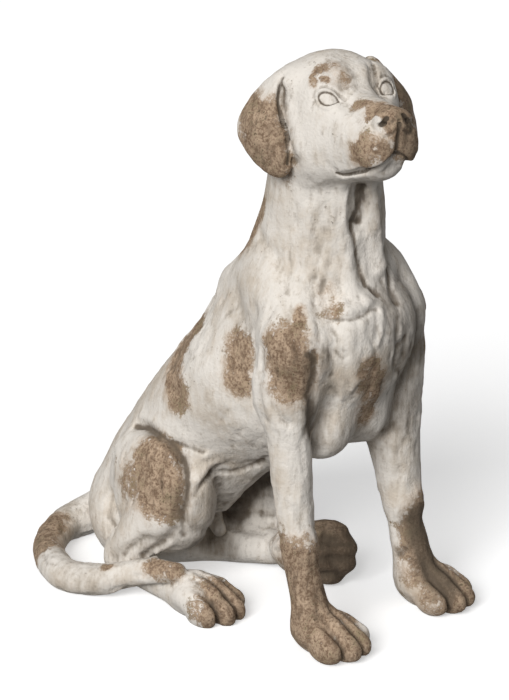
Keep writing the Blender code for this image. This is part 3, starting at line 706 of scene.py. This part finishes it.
def pads(clay):
    """Toe creases and the pads of each paw where the foot is seen from below, and the sheath."""
    sole = placed((51, 24, 34), (82, 0, 16)) @ Matrix.Scale(1.08, 4)
    clay.egg(sole, (44, 0, 13), (25, 30, 15), 6)
    clay.egg(sole, (24, 0, -1), (12, 15, 6), 3)
    for lean, reach in zip(TOE_LEANS, TOE_REACHES):
        clay.egg(sole, (reach - 2, 0.8 * lean, 1), (9, 6, 5), 2)
    clay.strokes(BODY, [
        ([(30, -28, 48), (33, -28, 56), (37, -28, 65), (45, -32, 69), (56, -37, 66)], 5, -3.5),
        ([(34, -36, 54), (42, -43, 53), (54, -50, 51)], 5, -3.2),
        ([(33, -38, 40), (37, -44, 28), (44, -42, 17), (50, -41, 11)], 5, -3.2)])
    clay.limb(BODY, [(-4, 104, 62, 11), (-10, 87, 52, 8)], 4)
    clay.stroke(BODY, [(-13, 80, 52), (-14, 79, 51)], 4.5, -4.5)
    for spot, yaw in (((-80, -112, 0), 8), ((82, -116, 0), 10), ((-103, 46, -4), 8)):
        place = placed(spot, (0, 0, yaw))
        for one, two in zip(TOE_LEANS, TOE_LEANS[1:]):
            gap = 0.5 * (one + two)
            tip = 64 - 0.6 * abs(gap)
            line = [(tip, gap, 6), (tip - 8, gap, 24), (28, 0.85 * gap, 42), (14, 0.7 * gap, 48)]
            clay.stroke(place, line, 5, -3.4)
        for lean, reach in zip(TOE_LEANS, TOE_REACHES):
            clay.stroke(place, [(reach + 8, 0.9 * lean, 30), (reach - 2, 0.9 * lean, 38)], 9, 1.6)
            clay.stroke(place, [(reach + 18, lean, 5), (reach + 20, lean, 9)], 6, 1.4)
    clay.strokes(BODY, [
        ([(-94, -132, 112), (-92, -128, 102), (-88, -126, 96)], 6, -2.0),
        ([(62, -124, 66), (58, -120, 62), (56, -116, 60)], 7, -4.0),
        ([(60, -126, 78), (57, -122, 74)], 7, 2.5)])


def laid(place, rows):
    """Marks (line, radius, strength), each with the place that its line lies in."""
    return [(place, *row) for row in rows]


PATCHES = laid(HEAD, [
    ([(-52, -84, -14), (-54, -84, -36), (-54, -76, -58)], 20, 0.95),
    ([(-42, -68, -28), (-38, -74, -46), (-40, -76, -58)], 9, 0.9),
    ([(-72, -78, 4)], 14, 0.7),
    # The left ear: brown wear mirrored from the right ear, weaker, and partly standing for painted shade on
    # that ear.
    ([(-50, 76, 0), (-52, 82, -30), (-46, 78, -56)], 22, 0.6),
    ([(-10, -30, 28), (-6, -26, 29)], 5, 0.62),
    ([(-8, -36, 23), (-3, -40, 16)], 4.5, 0.62),
    ([(1, -32, 21), (7, -28, 21)], 4, 0.6),
    ([(-2, -22, 32), (6, -15, 28), (12, -17, 17)], 8, 0.5),
    ([(36, -18, -8), (46, -12, -9), (58, -8, -11)], 5.5, 0.62),
    ([(66, -10, -14), (84, 0, -22), (86, 0, -34)], 13, 0.8),
    ([(74, -22, -24), (72, -22, -32)], 5, -0.9),
    ([(54, -29, -56), (64, -26, -50), (72, -16, -50)], 11, 0.72),
    ([(78, 10, -44), (74, 18, -50), (70, 20, -58)], 12, 0.95),
]) + laid(BODY, [
    ([(-44, -6, 450), (-39, 10, 415), (-30, 20, 395)], 10, 0.85),
    ([(-54, 84, 296), (-58, 98, 268), (-72, 92, 248), (-82, 80, 234)], 16, 0.9),
    ([(-82, -11, 306), (-85, -14, 276)], 15, 0.82),
    ([(-102, -98, 330), (-103, -106, 304)], 21, 0.9),
    ([(-96, -88, 290)], 14, 0.5),
    ([(-90, -104, 358), (-80, -98, 372)], 6, 0.75),
    ([(-24, -143, 300), (-5, -133, 266), (-2, -116, 238)], 13, 0.68),
    ([(-50, -108, 380), (-52, -114, 366)], 11, 0.42),
    ([(-103, 92, 156), (-110, 84, 144), (-112, 80, 124)], 22, 0.92),
    ([(-110, 118, 130)], 26, 0.5),
    ([(-146, 232, 26), (-120, 262, 30), (-100, 270, 30)], 17, 0.8),
    ([(-126, 74, 46), (-120, 50, 48)], 10, 0.75),
    ([(-143, 126, 37)], 6, 0.75),
    ([(-88, -108, 96), (-86, -118, 60), (-84, -130, 30)], 27, 1.0),
    ([(-86, -150, 18), (-92, -172, 12)], 26, 0.85),
    ([(88, -122, 104), (84, -128, 76), (80, -132, 50), (84, -142, 24)], 19, 1.0),
    ([(86, -160, 18), (92, -176, 12)], 24, 0.9),
    ([(-98, -4, 20), (-110, -18, 14)], 24, 0.85),
    ([(44, -24, 46), (48, -52, 44)], 34, 1.0),
    ([(84, -20, 300), (86, -10, 276)], 18, 0.85),
    ([(100, -92, 322), (102, -96, 296)], 20, 0.85),
    ([(72, 120, 180), (92, 130, 130)], 26, 0.85),
    ([(8, 240, 120), (-6, 250, 96)], 22, 0.75),
    ([(10, 40, 352), (4, 62, 330)], 13, 0.7),
    ([(60, 60, 262), (52, 92, 236)], 15, 0.75),
])
# Painted shade with some grime (place, line, radius, strength): darkening laid on the shaded sides, the chin,
# under the chest and belly, in the gaps between the legs and along the folds.
SHADE_AND_GRIME = laid(HEAD, [
    ([(-40, -60, 6), (-30, -64, -28), (-26, -62, -56)], 10, 0.7),
    ([(-60, -70, -10), (-50, -78, -40)], 22, 0.4),
    ([(84, 10, -36), (76, 15, -60)], 14, 1.1),
    ([(58, 0, -82), (40, -6, -87), (20, -14, -87)], 12, 0.8),
    ([(3, 27, 22), (9, 24, 8)], 5, 0.5),
    ([(-12, 40, 14), (0, 42, -10)], 22, 0.45),
    ([(-40, 66, 10), (-34, 70, -40)], 20, 1.0),
    ([(-4, -18, 32), (6, -10, 27), (14, -12, 15)], 9, 0.8),
    ([(84, -13, -28), (85, 12, -27)], 5, 0.9),
    ([(4, 31, 20), (8, 33, 12)], 6, 0.8),
]) + laid(BODY, [
    ([(-12, -116, 488), (-10, -114, 450)], 6, 0.7),
    ([(22, -122, 440), (26, -120, 400)], 14, 0.5),
    ([(30, -108, 400), (22, -131, 370), (4, -146, 340), (10, -140, 290)], 16, 0.85),
    ([(30, -130, 330), (36, -112, 260)], 28, 0.6),
    ([(-82, -120, 320), (-80, -114, 270), (-62, -98, 225)], 12, 1.0),
    ([(46, -110, 240), (50, -90, 200)], 26, 0.9),
    ([(-82, 10, 350), (-83, -9, 330)], 16, 0.5),
    ([(-52, 104, 282), (-70, 96, 256)], 10, 0.6),
    ([(-77, 127, 177), (-88, 90, 177), (-90, 60, 158)], 8, 0.9),
    ([(-94, 51, 126), (-96, 54, 100), (-90, 60, 70)], 14, 1.0),
    ([(-80, 46, 128), (-52, 50, 132), (-24, 40, 138)], 12, 0.7),
    ([(0, -60, 190), (10, 20, 120), (20, 80, 90)], 50, 0.8),
    ([(57, 76, 98), (42, 77, 92), (31, 82, 80), (24, 88, 68), (20, 91, 54)], 13, 1.7),
    ([(-73, 60, 62), (-50, 78, 46), (-7, 96, 25), (8, 86, 20)], 13, 1.3),
    ([(-80, 54, 120), (-66, 58, 100), (-56, 66, 80)], 16, 0.9),
    ([(14, -136, 368), (14, -146, 339), (32, -140, 299), (62, -119, 249), (56, -115, 216)], 17, 1.2),
    ([(48, -128, 367), (50, -138, 340), (72, -122, 293)], 18, 1.3),
    ([(-70, 74, 70), (-40, 80, 50)], 26, 0.6),
    ([(-114, 100, 46), (-104, 60, 87)], 10, 0.9),
    ([(-86, -150, 8), (-92, -180, 6)], 24, 0.3),
    ([(86, -160, 8), (92, -182, 6)], 24, 0.6),
    ([(46, -20, 30), (50, -56, 36)], 38, 1.5),
    ([(-100, 0, 8), (-112, -20, 8)], 24, 0.6),
    ([(-90, 170, 20), (-60, 220, 20)], 26, 0.6),
    ([(58, -118, 64)], 7, 1.0),
    ([(72, -128, 104), (74, -134, 77), (78, -144, 50), (76, -166, 28)], 15, 1.5),
    ([(-81, -114, 268), (-72, -106, 238)], 9, 1.6),
    ([(-30, -120, 215), (0, -112, 204)], 24, 0.8),
    ([(-75, 272, 30), (-126, 239, 28), (-158, 182, 28), (-148, 140, 30)], 30, 0.6),
])
# Painted shade in thin dark lines (place, line, radius, strength): the ear gaps, the stop, the lips, the nose
# groove, the nostrils, the neck, chest, haunch and belly folds, and round the eyes.
PAINTED_CREASE_SHADE = [
    (HEAD, mirrored(EAR_EDGE, -1), 1.4, 1.5),
    (HEAD, mirrored(EAR_EDGE, 1), 1.4, 1.5),
    (HEAD, [(-1, 29, 29), (3, 27, 23), (7, 25, 17), (10, 24, 9), (10, 25, 3)], 0.8, 1.2),
    (HEAD, mirrored(LIP_LINE, -1) + [(12, -34, -73)], 0.9, 1.5),
    (HEAD, LIP_LINE[:-1], 0.9, 1.5),
    (HEAD, [(89, 0, -30), (86, 0, -35), (78, 0, -44), (73, 0, -57)], 0.9, 1.5),
    (HEAD, [(85, -12, -22), (83, -14, -25), (80, -17, -29)], 1.5, 2.0),
    (HEAD, [(85, 8, -22), (84, 10, -26), (81, 12, -29)], 1.5, 2.0),
    (BODY, THROAT_FOLD, 3, 1.8),
    (BODY, NECK_FOLD, 2, 1.2),
    (BODY, LEFT_NECK_FOLD, 3, 1.2),
    (BODY, COLLAR_FOLD, 1.8, 0.8),
    (BODY, CHEST_FOLD, 3.5, 1.6),
    (BODY, [(-72, 152, 171), (-77, 127, 177), (-86, 95, 180), (-87, 75, 172), (-86, 63, 159), (-89, 56, 145),
            (-94, 52, 128), (-98, 54, 115), (-100, 54, 99), (-99, 55, 82)], 2.2, 1.4),
    (BODY, FLANK_FOLD, 2.0, 0.9),
    (BODY, BELLY_FOLD, 2.0, 1.0),
] + [(HEAD, loop(middle, 1.05 * np.array(across), (-0.8, 0.0, 7.1)), 0.8, 1.5)
     for middle, across in EYE_SPOTS]


def near_lines(points, rows):
    """How strongly each point lies within some marks: full on a mark's line, none two radii away.

    A strength below 0 rubs out what the marks before it left there.
    """
    mark = np.zeros(len(points), np.float32)
    for place, spots, radius, strength in rows:
        line = np.array([place @ Vector(spot) for spot in spots])
        nearest = np.full(len(points), FAR)
        for one, two in zip(line, np.vstack([line[1:], line[-1:]])):
            (x, y, z), _ = off_segment(points.T, one, two)
            nearest = np.minimum(nearest, np.sqrt(x * x + y * y + z * z))
        near = np.clip(1.5 - nearest / (1.35 * radius), 0.0, 1.0)
        mark = np.maximum(mark, strength * near) if strength > 0.0 else mark + strength * near
    return mark


def lumps(points, size, seed):
    """Soft random lumps of about that size, between -1 and 1."""
    table = np.random.default_rng(seed).uniform(-1.0, 1.0, (32, 32, 32)).astype(np.float32)
    spot = points / np.array(size)
    at = np.floor(spot).astype(int)
    part = spot - at
    part = part * part * (3.0 - 2.0 * part)
    total = np.zeros(len(points), np.float32)
    for corner in np.ndindex(2, 2, 2):
        share = np.prod(np.where(corner, part, 1.0 - part), axis=1)
        total += share * table[tuple(((at + corner) % 32).T)]
    return total


def thinned(name, points, faces, triangles):
    """The figure's first mesh with about so many triangles."""
    mesh = bpy.data.meshes.new(name)
    mesh.from_pydata(points.tolist(), [], faces.tolist())
    rough = bpy.data.objects.new(name, mesh)
    bpy.context.collection.objects.link(rough)
    thin = rough.modifiers.new("thin out", "DECIMATE")
    thin.ratio = triangles / (2.0 * len(faces))
    graph = bpy.context.evaluated_depsgraph_get()
    made = bpy.data.meshes.new_from_object(rough.evaluated_get(graph))
    bpy.data.objects.remove(rough)
    bpy.data.meshes.remove(mesh)
    return made


def mesh_points(mesh):
    """The points of a mesh as rows."""
    points = np.empty(3 * len(mesh.vertices))
    mesh.vertices.foreach_get("co", points)
    return points.reshape(-1, 3)


def closed_at_ground(mesh):
    """Cuts the mesh flat where it meets the ground, and closes it there."""
    work = bmesh.new()
    work.from_mesh(mesh)
    every = work.verts[:] + work.edges[:] + work.faces[:]
    bmesh.ops.bisect_plane(work, geom=every, plane_co=(0, 0, 0), plane_no=(0, 0, 1), clear_inner=True)
    bmesh.ops.dissolve_degenerate(work, dist=0.05, edges=work.edges[:])
    bmesh.ops.holes_fill(work, edges=[edge for edge in work.edges if edge.is_boundary])
    bmesh.ops.triangulate(work, faces=work.faces[:])
    bmesh.ops.recalc_face_normals(work, faces=work.faces[:])
    for face in work.faces:
        face.smooth = not all(abs(vertex.co.z) < 1e-4 for vertex in face.verts)
    work.to_mesh(mesh)
    work.free()


FACE_SPOTS = [(20, 0, 0), (60, 0, -30), (40, -20, -60), (40, 20, -60), (4, -34, 2), (4, 34, 2)]
FINE_SIDE = [(80, 16, -26), (62, 17, -66), (46, 26, -72), (28, 30, -75), (14, 34, -72)]
FINE_SPOTS = [(10, -38, 1), (12, -29, 0), (12, 30, 0), (11, 39, 0), (84, 0, -30), (76, 0, -46), (70, 0, -60),
              (6, 25, 18)] + mirrored(FINE_SIDE, -1) + FINE_SIDE
EAR_SPOTS = mirrored(EAR_EDGE, -1) + EAR_EDGE
SPLITS = ((FACE_SPOTS, 36.0), (FINE_SPOTS, 13.0), (EAR_SPOTS, 11.0), (EAR_SPOTS, 6.5))


def split_near(work, spots, reach):
    """Splits the faces of a mesh whose middles are within reach of some spots of the head."""
    to_head = HEAD.inverted()
    spots = np.array(spots)
    edges = set()
    for face in work.faces:
        gap = spots - np.array(to_head @ face.calc_center_median())
        if (gap * gap).sum(1).min() < reach * reach:
            edges.update(face.edges)
    edges = sorted(edges, key=lambda edge: edge.index)
    bmesh.ops.subdivide_edges(work, edges=edges, cuts=1, use_grid_fill=True)
    bmesh.ops.triangulate(work, faces=[face for face in work.faces if len(face.verts) > 3])


def finer_face(mesh):
    """Splits the faces of the muzzle and brow, and again those of the eyes, nose, lips and ear edges."""
    work = bmesh.new()
    work.from_mesh(mesh)
    for spots, reach in SPLITS:
        split_near(work, spots, reach)
    work.to_mesh(mesh)
    work.free()


FACE_MARGIN = (4.0, 18.0)
FACE_PASSES = 5
FACE_PASS = 2.0
SKIN_LUMPS = ((0.9, (23, 23, 31), 1), (0.5, (9.0, 9.0, 14.0), 2), (0.3, (4.5, 4.5, 7.0), 3))
NECK_LUMPS = (0.8, (6.5, 6.5, 24.0), 4)
NECK_LINE = (BODY, [(-50, -90, 470), (-40, -110, 400), (-40, -125, 330)], 60, 1.0)
GROUND_FADE = 6.0


def onto_face(face, points):
    """Moves the points of the head onto its finer clay, and says how far each point belongs to the face."""
    low, high = np.array(FACE_LOW), np.array(FACE_HIGH)
    margin = np.minimum(points - low, high - points).min(1)
    share = np.clip((margin - FACE_MARGIN[0]) / (FACE_MARGIN[1] - FACE_MARGIN[0]), 0.0, 1.0)
    inside = np.nonzero(share > 0.0)[0]
    for _ in range(FACE_PASSES):
        off, slope = face.read(points[inside])
        step = (off / np.maximum((slope ** 2).sum(1), 0.25))[:, None] * slope
        points[inside] -= share[inside, None] * np.clip(0.8 * step, -FACE_PASS, FACE_PASS)
    return share, inside


def roughen(points, away, share):
    """Lumps the skin, more on the neck and less on the face, and leaves the ground flat."""
    rise = sum(height * lumps(points, size, seed) for height, size, seed in SKIN_LUMPS)
    height, size, seed = NECK_LUMPS
    rise += height * near_lines(points, [NECK_LINE]) * lumps(points, size, seed)
    foot = np.clip(points[:, 2] / GROUND_FADE, 0.0, 1.0)
    points += (rise * (1.0 - 0.75 * share) * foot)[:, None] * away


def dog_mesh():
    """The whole dog, cast from the clay, with marks on it for wear, for painted shade with some grime, for
    hollows, which the material darkens as painted shade, and for ridges.
    """
    clay = Clay(CELL, BLOCK_LOW, BLOCK_HIGH)
    dog(clay)
    skin(clay)
    pads(clay)
    tool_marks(clay)
    mesh = thinned("dog", *clay.surface(), TRIANGLES)
    closed_at_ground(mesh)
    finer_face(mesh)

    face = clay.closer(FACE_LOW, FACE_HIGH, FACE_CELL)
    face_relief(face)
    points = mesh_points(mesh)
    # Painted shade: dark lines laid along the creases, the ear gaps, the lips, the nostrils and round the
    # eyes.
    dark = near_lines(points, [(place, clay.settled(place, smooth_line(spots)), radius, strength)
                               for place, spots, radius, strength in PAINTED_CREASE_SHADE])
    share, inside = onto_face(face, points)

    _, slope = clay.read(points)
    away = slope / np.maximum(np.linalg.norm(slope, axis=1), 1e-3)[:, None]
    bent = clay.bend(points, 1)
    bent[inside] = np.where(share[inside] > 0.5, 2.0 * face.bend(points[inside], 2), bent[inside])
    broad = clay.bend(points, 4)
    # hollow marks concave spots. The material darkens them as painted shade with some grime, and greys the
    # paint there.
    hollow = 0.6 * np.clip(-1.3 * bent, 0.0, 1.0) + 0.8 * np.clip(-2.2 * broad, 0.0, 1.0)
    ridge = np.clip(3.0 * bent, 0.0, 1.0)
    roughen(points, away, share)

    worn = near_lines(points, PATCHES)
    # Painted shade with some grime on the shaded sides, undersides and gaps, joined with the painted crease
    # shade.
    shade_and_grime = np.maximum(near_lines(points, SHADE_AND_GRIME), dark)
    for label, values in (("worn", worn), ("shade_and_grime", shade_and_grime), ("hollow", hollow), ("ridge", ridge)):
        mark = mesh.attributes.new(label, "FLOAT", "POINT")
        mark.data.foreach_set("value", values.astype(np.float32))
    points = (points - CENTRE) * (HEIGHT / PARTS)
    mesh.vertices.foreach_set("co", points.ravel())
    mesh.update()
    return mesh


def shader_node(tree, kind, values=(), **settings):
    """A node with its settings, and a value or a link for each of some inputs."""
    node = tree.nodes.new(kind)
    for label, value in settings.items():
        setattr(node, label, value)
    for label, value in dict(values).items():
        if isinstance(value, bpy.types.NodeSocket):
            tree.links.new(value, node.inputs[label])
        else:
            node.inputs[label].default_value = value
    return node


def noise(tree, where, scale, detail=4.0, roughness=0.55, stretch=(1.0, 1.0, 1.0)):
    """A cloud of noise over the piece, from 0 to 1. stretch below 1 draws it out along that axis."""
    mapped = shader_node(tree, "ShaderNodeMapping", {"Vector": where, "Scale": stretch})
    made = shader_node(tree, "ShaderNodeTexNoise", {
        "Vector": mapped.outputs[0], "Scale": scale, "Detail": detail, "Roughness": roughness})
    return shader_node(tree, "ShaderNodeMapRange", {
        "Value": made.outputs["Fac"], "From Min": 0.3, "From Max": 0.7}).outputs["Result"]


def mark(tree, label):
    """One of the marks that the mesh carries."""
    return shader_node(tree, "ShaderNodeAttribute", attribute_name=label).outputs["Fac"]


def sum_of(tree, *pairs):
    """The sum of some values, each times its weight."""
    total = None
    for value, weight in pairs:
        node = shader_node(tree, "ShaderNodeMath", operation="MULTIPLY_ADD")
        tree.links.new(value, node.inputs[0])
        node.inputs[1].default_value = weight
        if total is None:
            node.inputs[2].default_value = 0.0
        else:
            tree.links.new(total, node.inputs[2])
        total = node.outputs[0]
    return total


def step(tree, value, start, stop):
    """Rises smoothly from 0 to 1 between start and stop."""
    values = {"Value": value, "From Min": start, "From Max": stop}
    return shader_node(tree, "ShaderNodeMapRange", values, interpolation_type="SMOOTHSTEP").outputs["Result"]


def blend_of(tree, share, one, two):
    """A colour between two, of which share belongs to the second."""
    node = shader_node(tree, "ShaderNodeMix", data_type="RGBA")
    for socket, value in zip((node.inputs[0], node.inputs[6], node.inputs[7]), (share, one, two)):
        if isinstance(value, bpy.types.NodeSocket):
            tree.links.new(value, socket)
        else:
            socket.default_value = value
    return node.outputs[2]


PAINT_WHITE = (0.79, 0.74, 0.675, 1.0)
PAINT_CREAM = (0.63, 0.555, 0.465, 1.0)
PAINT_GREY = (0.44, 0.39, 0.33, 1.0)
CLAY_BROWN = (0.19, 0.125, 0.08, 1.0)
CLAY_TAN = (0.52, 0.385, 0.27, 1.0)
CLAY_OLIVE = (0.285, 0.225, 0.135, 1.0)
CLAY_DARK = (0.115, 0.077, 0.05, 1.0)
# Browns of painted shade with some dirt: the first for shaded sides, hollows and creases, the second for the
# darkest painted shade.
SHADE_AND_DIRT_BROWN = (0.135, 0.104, 0.074, 1.0)
DEEP_SHADE_AND_DIRT = (0.03, 0.022, 0.015, 1.0)


def worn_and_shaded_limewash():
    """Limewash that has worn through to the clay in patches, with painted shade and some grime in its hollows
    and creases and on its shaded sides.
    """
    material = bpy.data.materials.new("weathered limewash")
    material.use_nodes = True
    tree = material.node_tree
    shader = tree.nodes["Principled BSDF"]
    where = shader_node(tree, "ShaderNodeTexCoord").outputs["Object"]
    broad = noise(tree, where, 14.0, 5.0)
    patchy = noise(tree, where, 38.0, 6.0, 0.62)
    mottle = noise(tree, where, 90.0, 5.0, 0.62)
    speckle = noise(tree, where, 330.0, 4.0, 0.6)
    streaks = noise(tree, where, 170.0, 4.0, 0.6, (1.0, 1.0, 0.22))
    worn, shade_and_grime, hollow, ridge = (mark(tree, label) for label in ("worn", "shade_and_grime", "hollow", "ridge"))

    fleck = step(tree, sum_of(tree, (speckle, 0.7), (mottle, 0.6)), 0.76, 0.92)
    bare = sum_of(tree, (worn, 1.2), (patchy, 0.8), (mottle, 0.6), (speckle, 0.4), (ridge, 0.15),
                  (fleck, -0.45))
    bare = step(tree, bare, 1.28, 1.55)
    halo = step(tree, sum_of(tree, (worn, 1.0), (broad, 0.4), (mottle, 0.4), (speckle, 0.25)), 0.55, 1.4)
    cream = step(tree, sum_of(tree, (broad, 0.7), (patchy, 0.4), (streaks, 0.25)), 0.5, 1.1)
    # Greyed paint from noise, darker in hollows as painted shade.
    grey = step(tree, sum_of(tree, (streaks, 0.5), (speckle, 0.4), (mottle, 0.25), (hollow, 0.5)), 0.6, 1.15)
    # Painted shade with some dirt, from the shade-and-grime and hollow marks.
    dirt_and_shade = step(tree, sum_of(tree, (shade_and_grime, 0.7), (hollow, 0.7), (patchy, 0.25), (streaks, 0.3)), 0.4, 1.7)
    pits = step(tree, sum_of(tree, (speckle, 0.8), (patchy, 0.35), (worn, 0.15)), 1.0, 1.06)

    paint = blend_of(tree, cream, PAINT_WHITE, PAINT_CREAM)
    paint = blend_of(tree, sum_of(tree, (halo, 0.75)), paint, CLAY_TAN)
    paint = blend_of(tree, sum_of(tree, (grey, 0.6)), paint, PAINT_GREY)
    grains = step(tree, sum_of(tree, (speckle, 0.65), (mottle, 0.45)), 0.25, 0.85)
    clay = blend_of(tree, grains, CLAY_BROWN, CLAY_TAN)
    olive = step(tree, sum_of(tree, (patchy, 0.6), (speckle, 0.5)), 0.6, 0.95)
    clay = blend_of(tree, olive, clay, CLAY_OLIVE)
    stained = step(tree, sum_of(tree, (worn, 0.5), (streaks, 0.5), (speckle, 0.3)), 0.85, 1.25)
    clay = blend_of(tree, stained, clay, CLAY_DARK)
    colour = blend_of(tree, bare, paint, clay)
    colour = blend_of(tree, sum_of(tree, (pits, 0.6)), colour, CLAY_DARK)
    # Painted shade with some dirt laid over all, deepest where the shade-and-grime mark is strongest.
    colour = blend_of(tree, sum_of(tree, (dirt_and_shade, 0.9)), colour, SHADE_AND_DIRT_BROWN)
    deepest = step(tree, sum_of(tree, (shade_and_grime, 1.0), (mottle, 0.35)), 1.2, 2.3)
    colour = blend_of(tree, sum_of(tree, (deepest, 0.6)), colour, DEEP_SHADE_AND_DIRT)
    tree.links.new(colour, shader.inputs["Base Color"])

    height = sum_of(tree, (streaks, 0.5), (speckle, 0.45), (bare, -0.5), (mottle, 0.5), (pits, -0.5))
    bump = shader_node(tree, "ShaderNodeBump", {"Height": height, "Strength": 0.6, "Distance": 0.0013})
    tree.links.new(bump.outputs[0], shader.inputs["Normal"])
    shader.inputs["Roughness"].default_value = 0.85
    shader.inputs["Specular IOR Level"].default_value = 0.2
    return material


def plain_material(name, colour, roughness):
    """One plain colour."""
    material = bpy.data.materials.new(name)
    material.use_nodes = True
    shader = material.node_tree.nodes["Principled BSDF"]
    shader.inputs["Base Color"].default_value = colour
    shader.inputs["Roughness"].default_value = roughness
    return material


FLOOR_SIZE = 30.0
FLOOR_COLOUR = (0.93, 0.93, 0.93, 1.0)
FLOOR_GLOW = 0.45


def floor():
    """A wide pale floor, which fills the view behind the dog too."""
    reach = 0.5 * FLOOR_SIZE
    mesh = bpy.data.meshes.new("floor")
    corners = [(-reach, -reach, 0), (reach, -reach, 0), (reach, reach, 0), (-reach, reach, 0)]
    mesh.from_pydata(corners, [], [(0, 1, 2, 3)])
    pale = plain_material("pale floor", FLOOR_COLOUR, 0.9)
    pale.node_tree.nodes["Principled BSDF"].inputs["Emission Color"].default_value = FLOOR_COLOUR
    pale.node_tree.nodes["Principled BSDF"].inputs["Emission Strength"].default_value = FLOOR_GLOW
    mesh.materials.append(pale)
    made = bpy.data.objects.new("floor", mesh)
    made.visible_diffuse = False
    bpy.context.collection.objects.link(made)


def aimed(thing, place, aim):
    """Puts a camera or a lamp in its place, and turns it to what it looks at."""
    made = bpy.data.objects.new(thing.name, thing)
    made.location = place
    made.rotation_euler = (Vector(aim) - Vector(place)).to_track_quat("-Z", "Y").to_euler()
    bpy.context.collection.objects.link(made)
    return made


CAMERA_PLACE = (-2.095, -2.025, 1.37)
CAMERA_AIM = (-0.092, -0.117, 0.33)
FRAME_HEIGHT_PX = 700.0
FOCAL_PX = 2926.0
SENSOR = 36.0


def camera():
    """The photograph's view."""
    lens = bpy.data.cameras.new("camera")
    lens.sensor_fit = "VERTICAL"
    lens.sensor_height = SENSOR
    lens.lens = SENSOR * FOCAL_PX / FRAME_HEIGHT_PX
    bpy.context.scene.camera = aimed(lens, CAMERA_PLACE, CAMERA_AIM)


KEY_FROM = (-0.97, -0.33, 0.64)
KEY_POWER = 2.85
TOP_FROM = (-0.3, -0.2, 1.0)
TOP_POWER = 0.3
ROOM_LIGHT = 0.15


def soft_sun(name, source, power, spread):
    """A wide soft light from one side, equally strong all over the floor."""
    lamp = bpy.data.lights.new(name, "SUN")
    lamp.energy = power
    lamp.angle = math.radians(spread)
    aimed(lamp, source, (0.0, 0.0, 0.0))


def studio():
    """A large soft key light from the dog's right, a weaker one from above, and a pale room."""
    soft_sun("key light", KEY_FROM, KEY_POWER, 34.0)
    soft_sun("top light", TOP_FROM, TOP_POWER, 90.0)
    world = bpy.data.worlds.new("room")
    world.use_nodes = True
    world.node_tree.nodes["Background"].inputs["Color"].default_value = (1.0, 1.0, 1.0, 1.0)
    world.node_tree.nodes["Background"].inputs["Strength"].default_value = ROOM_LIGHT
    bpy.context.scene.world = world
    bpy.context.scene.view_settings.view_transform = "Standard"


def main():
    camera()
    mesh = dog_mesh()
    mesh.materials.clear()
    mesh.materials.append(worn_and_shaded_limewash())
    figure = bpy.data.objects.new("cast_dog", mesh)
    bpy.context.collection.objects.link(figure)
    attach(figure, "root")
    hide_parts("dog")
    floor()
    studio()


main()
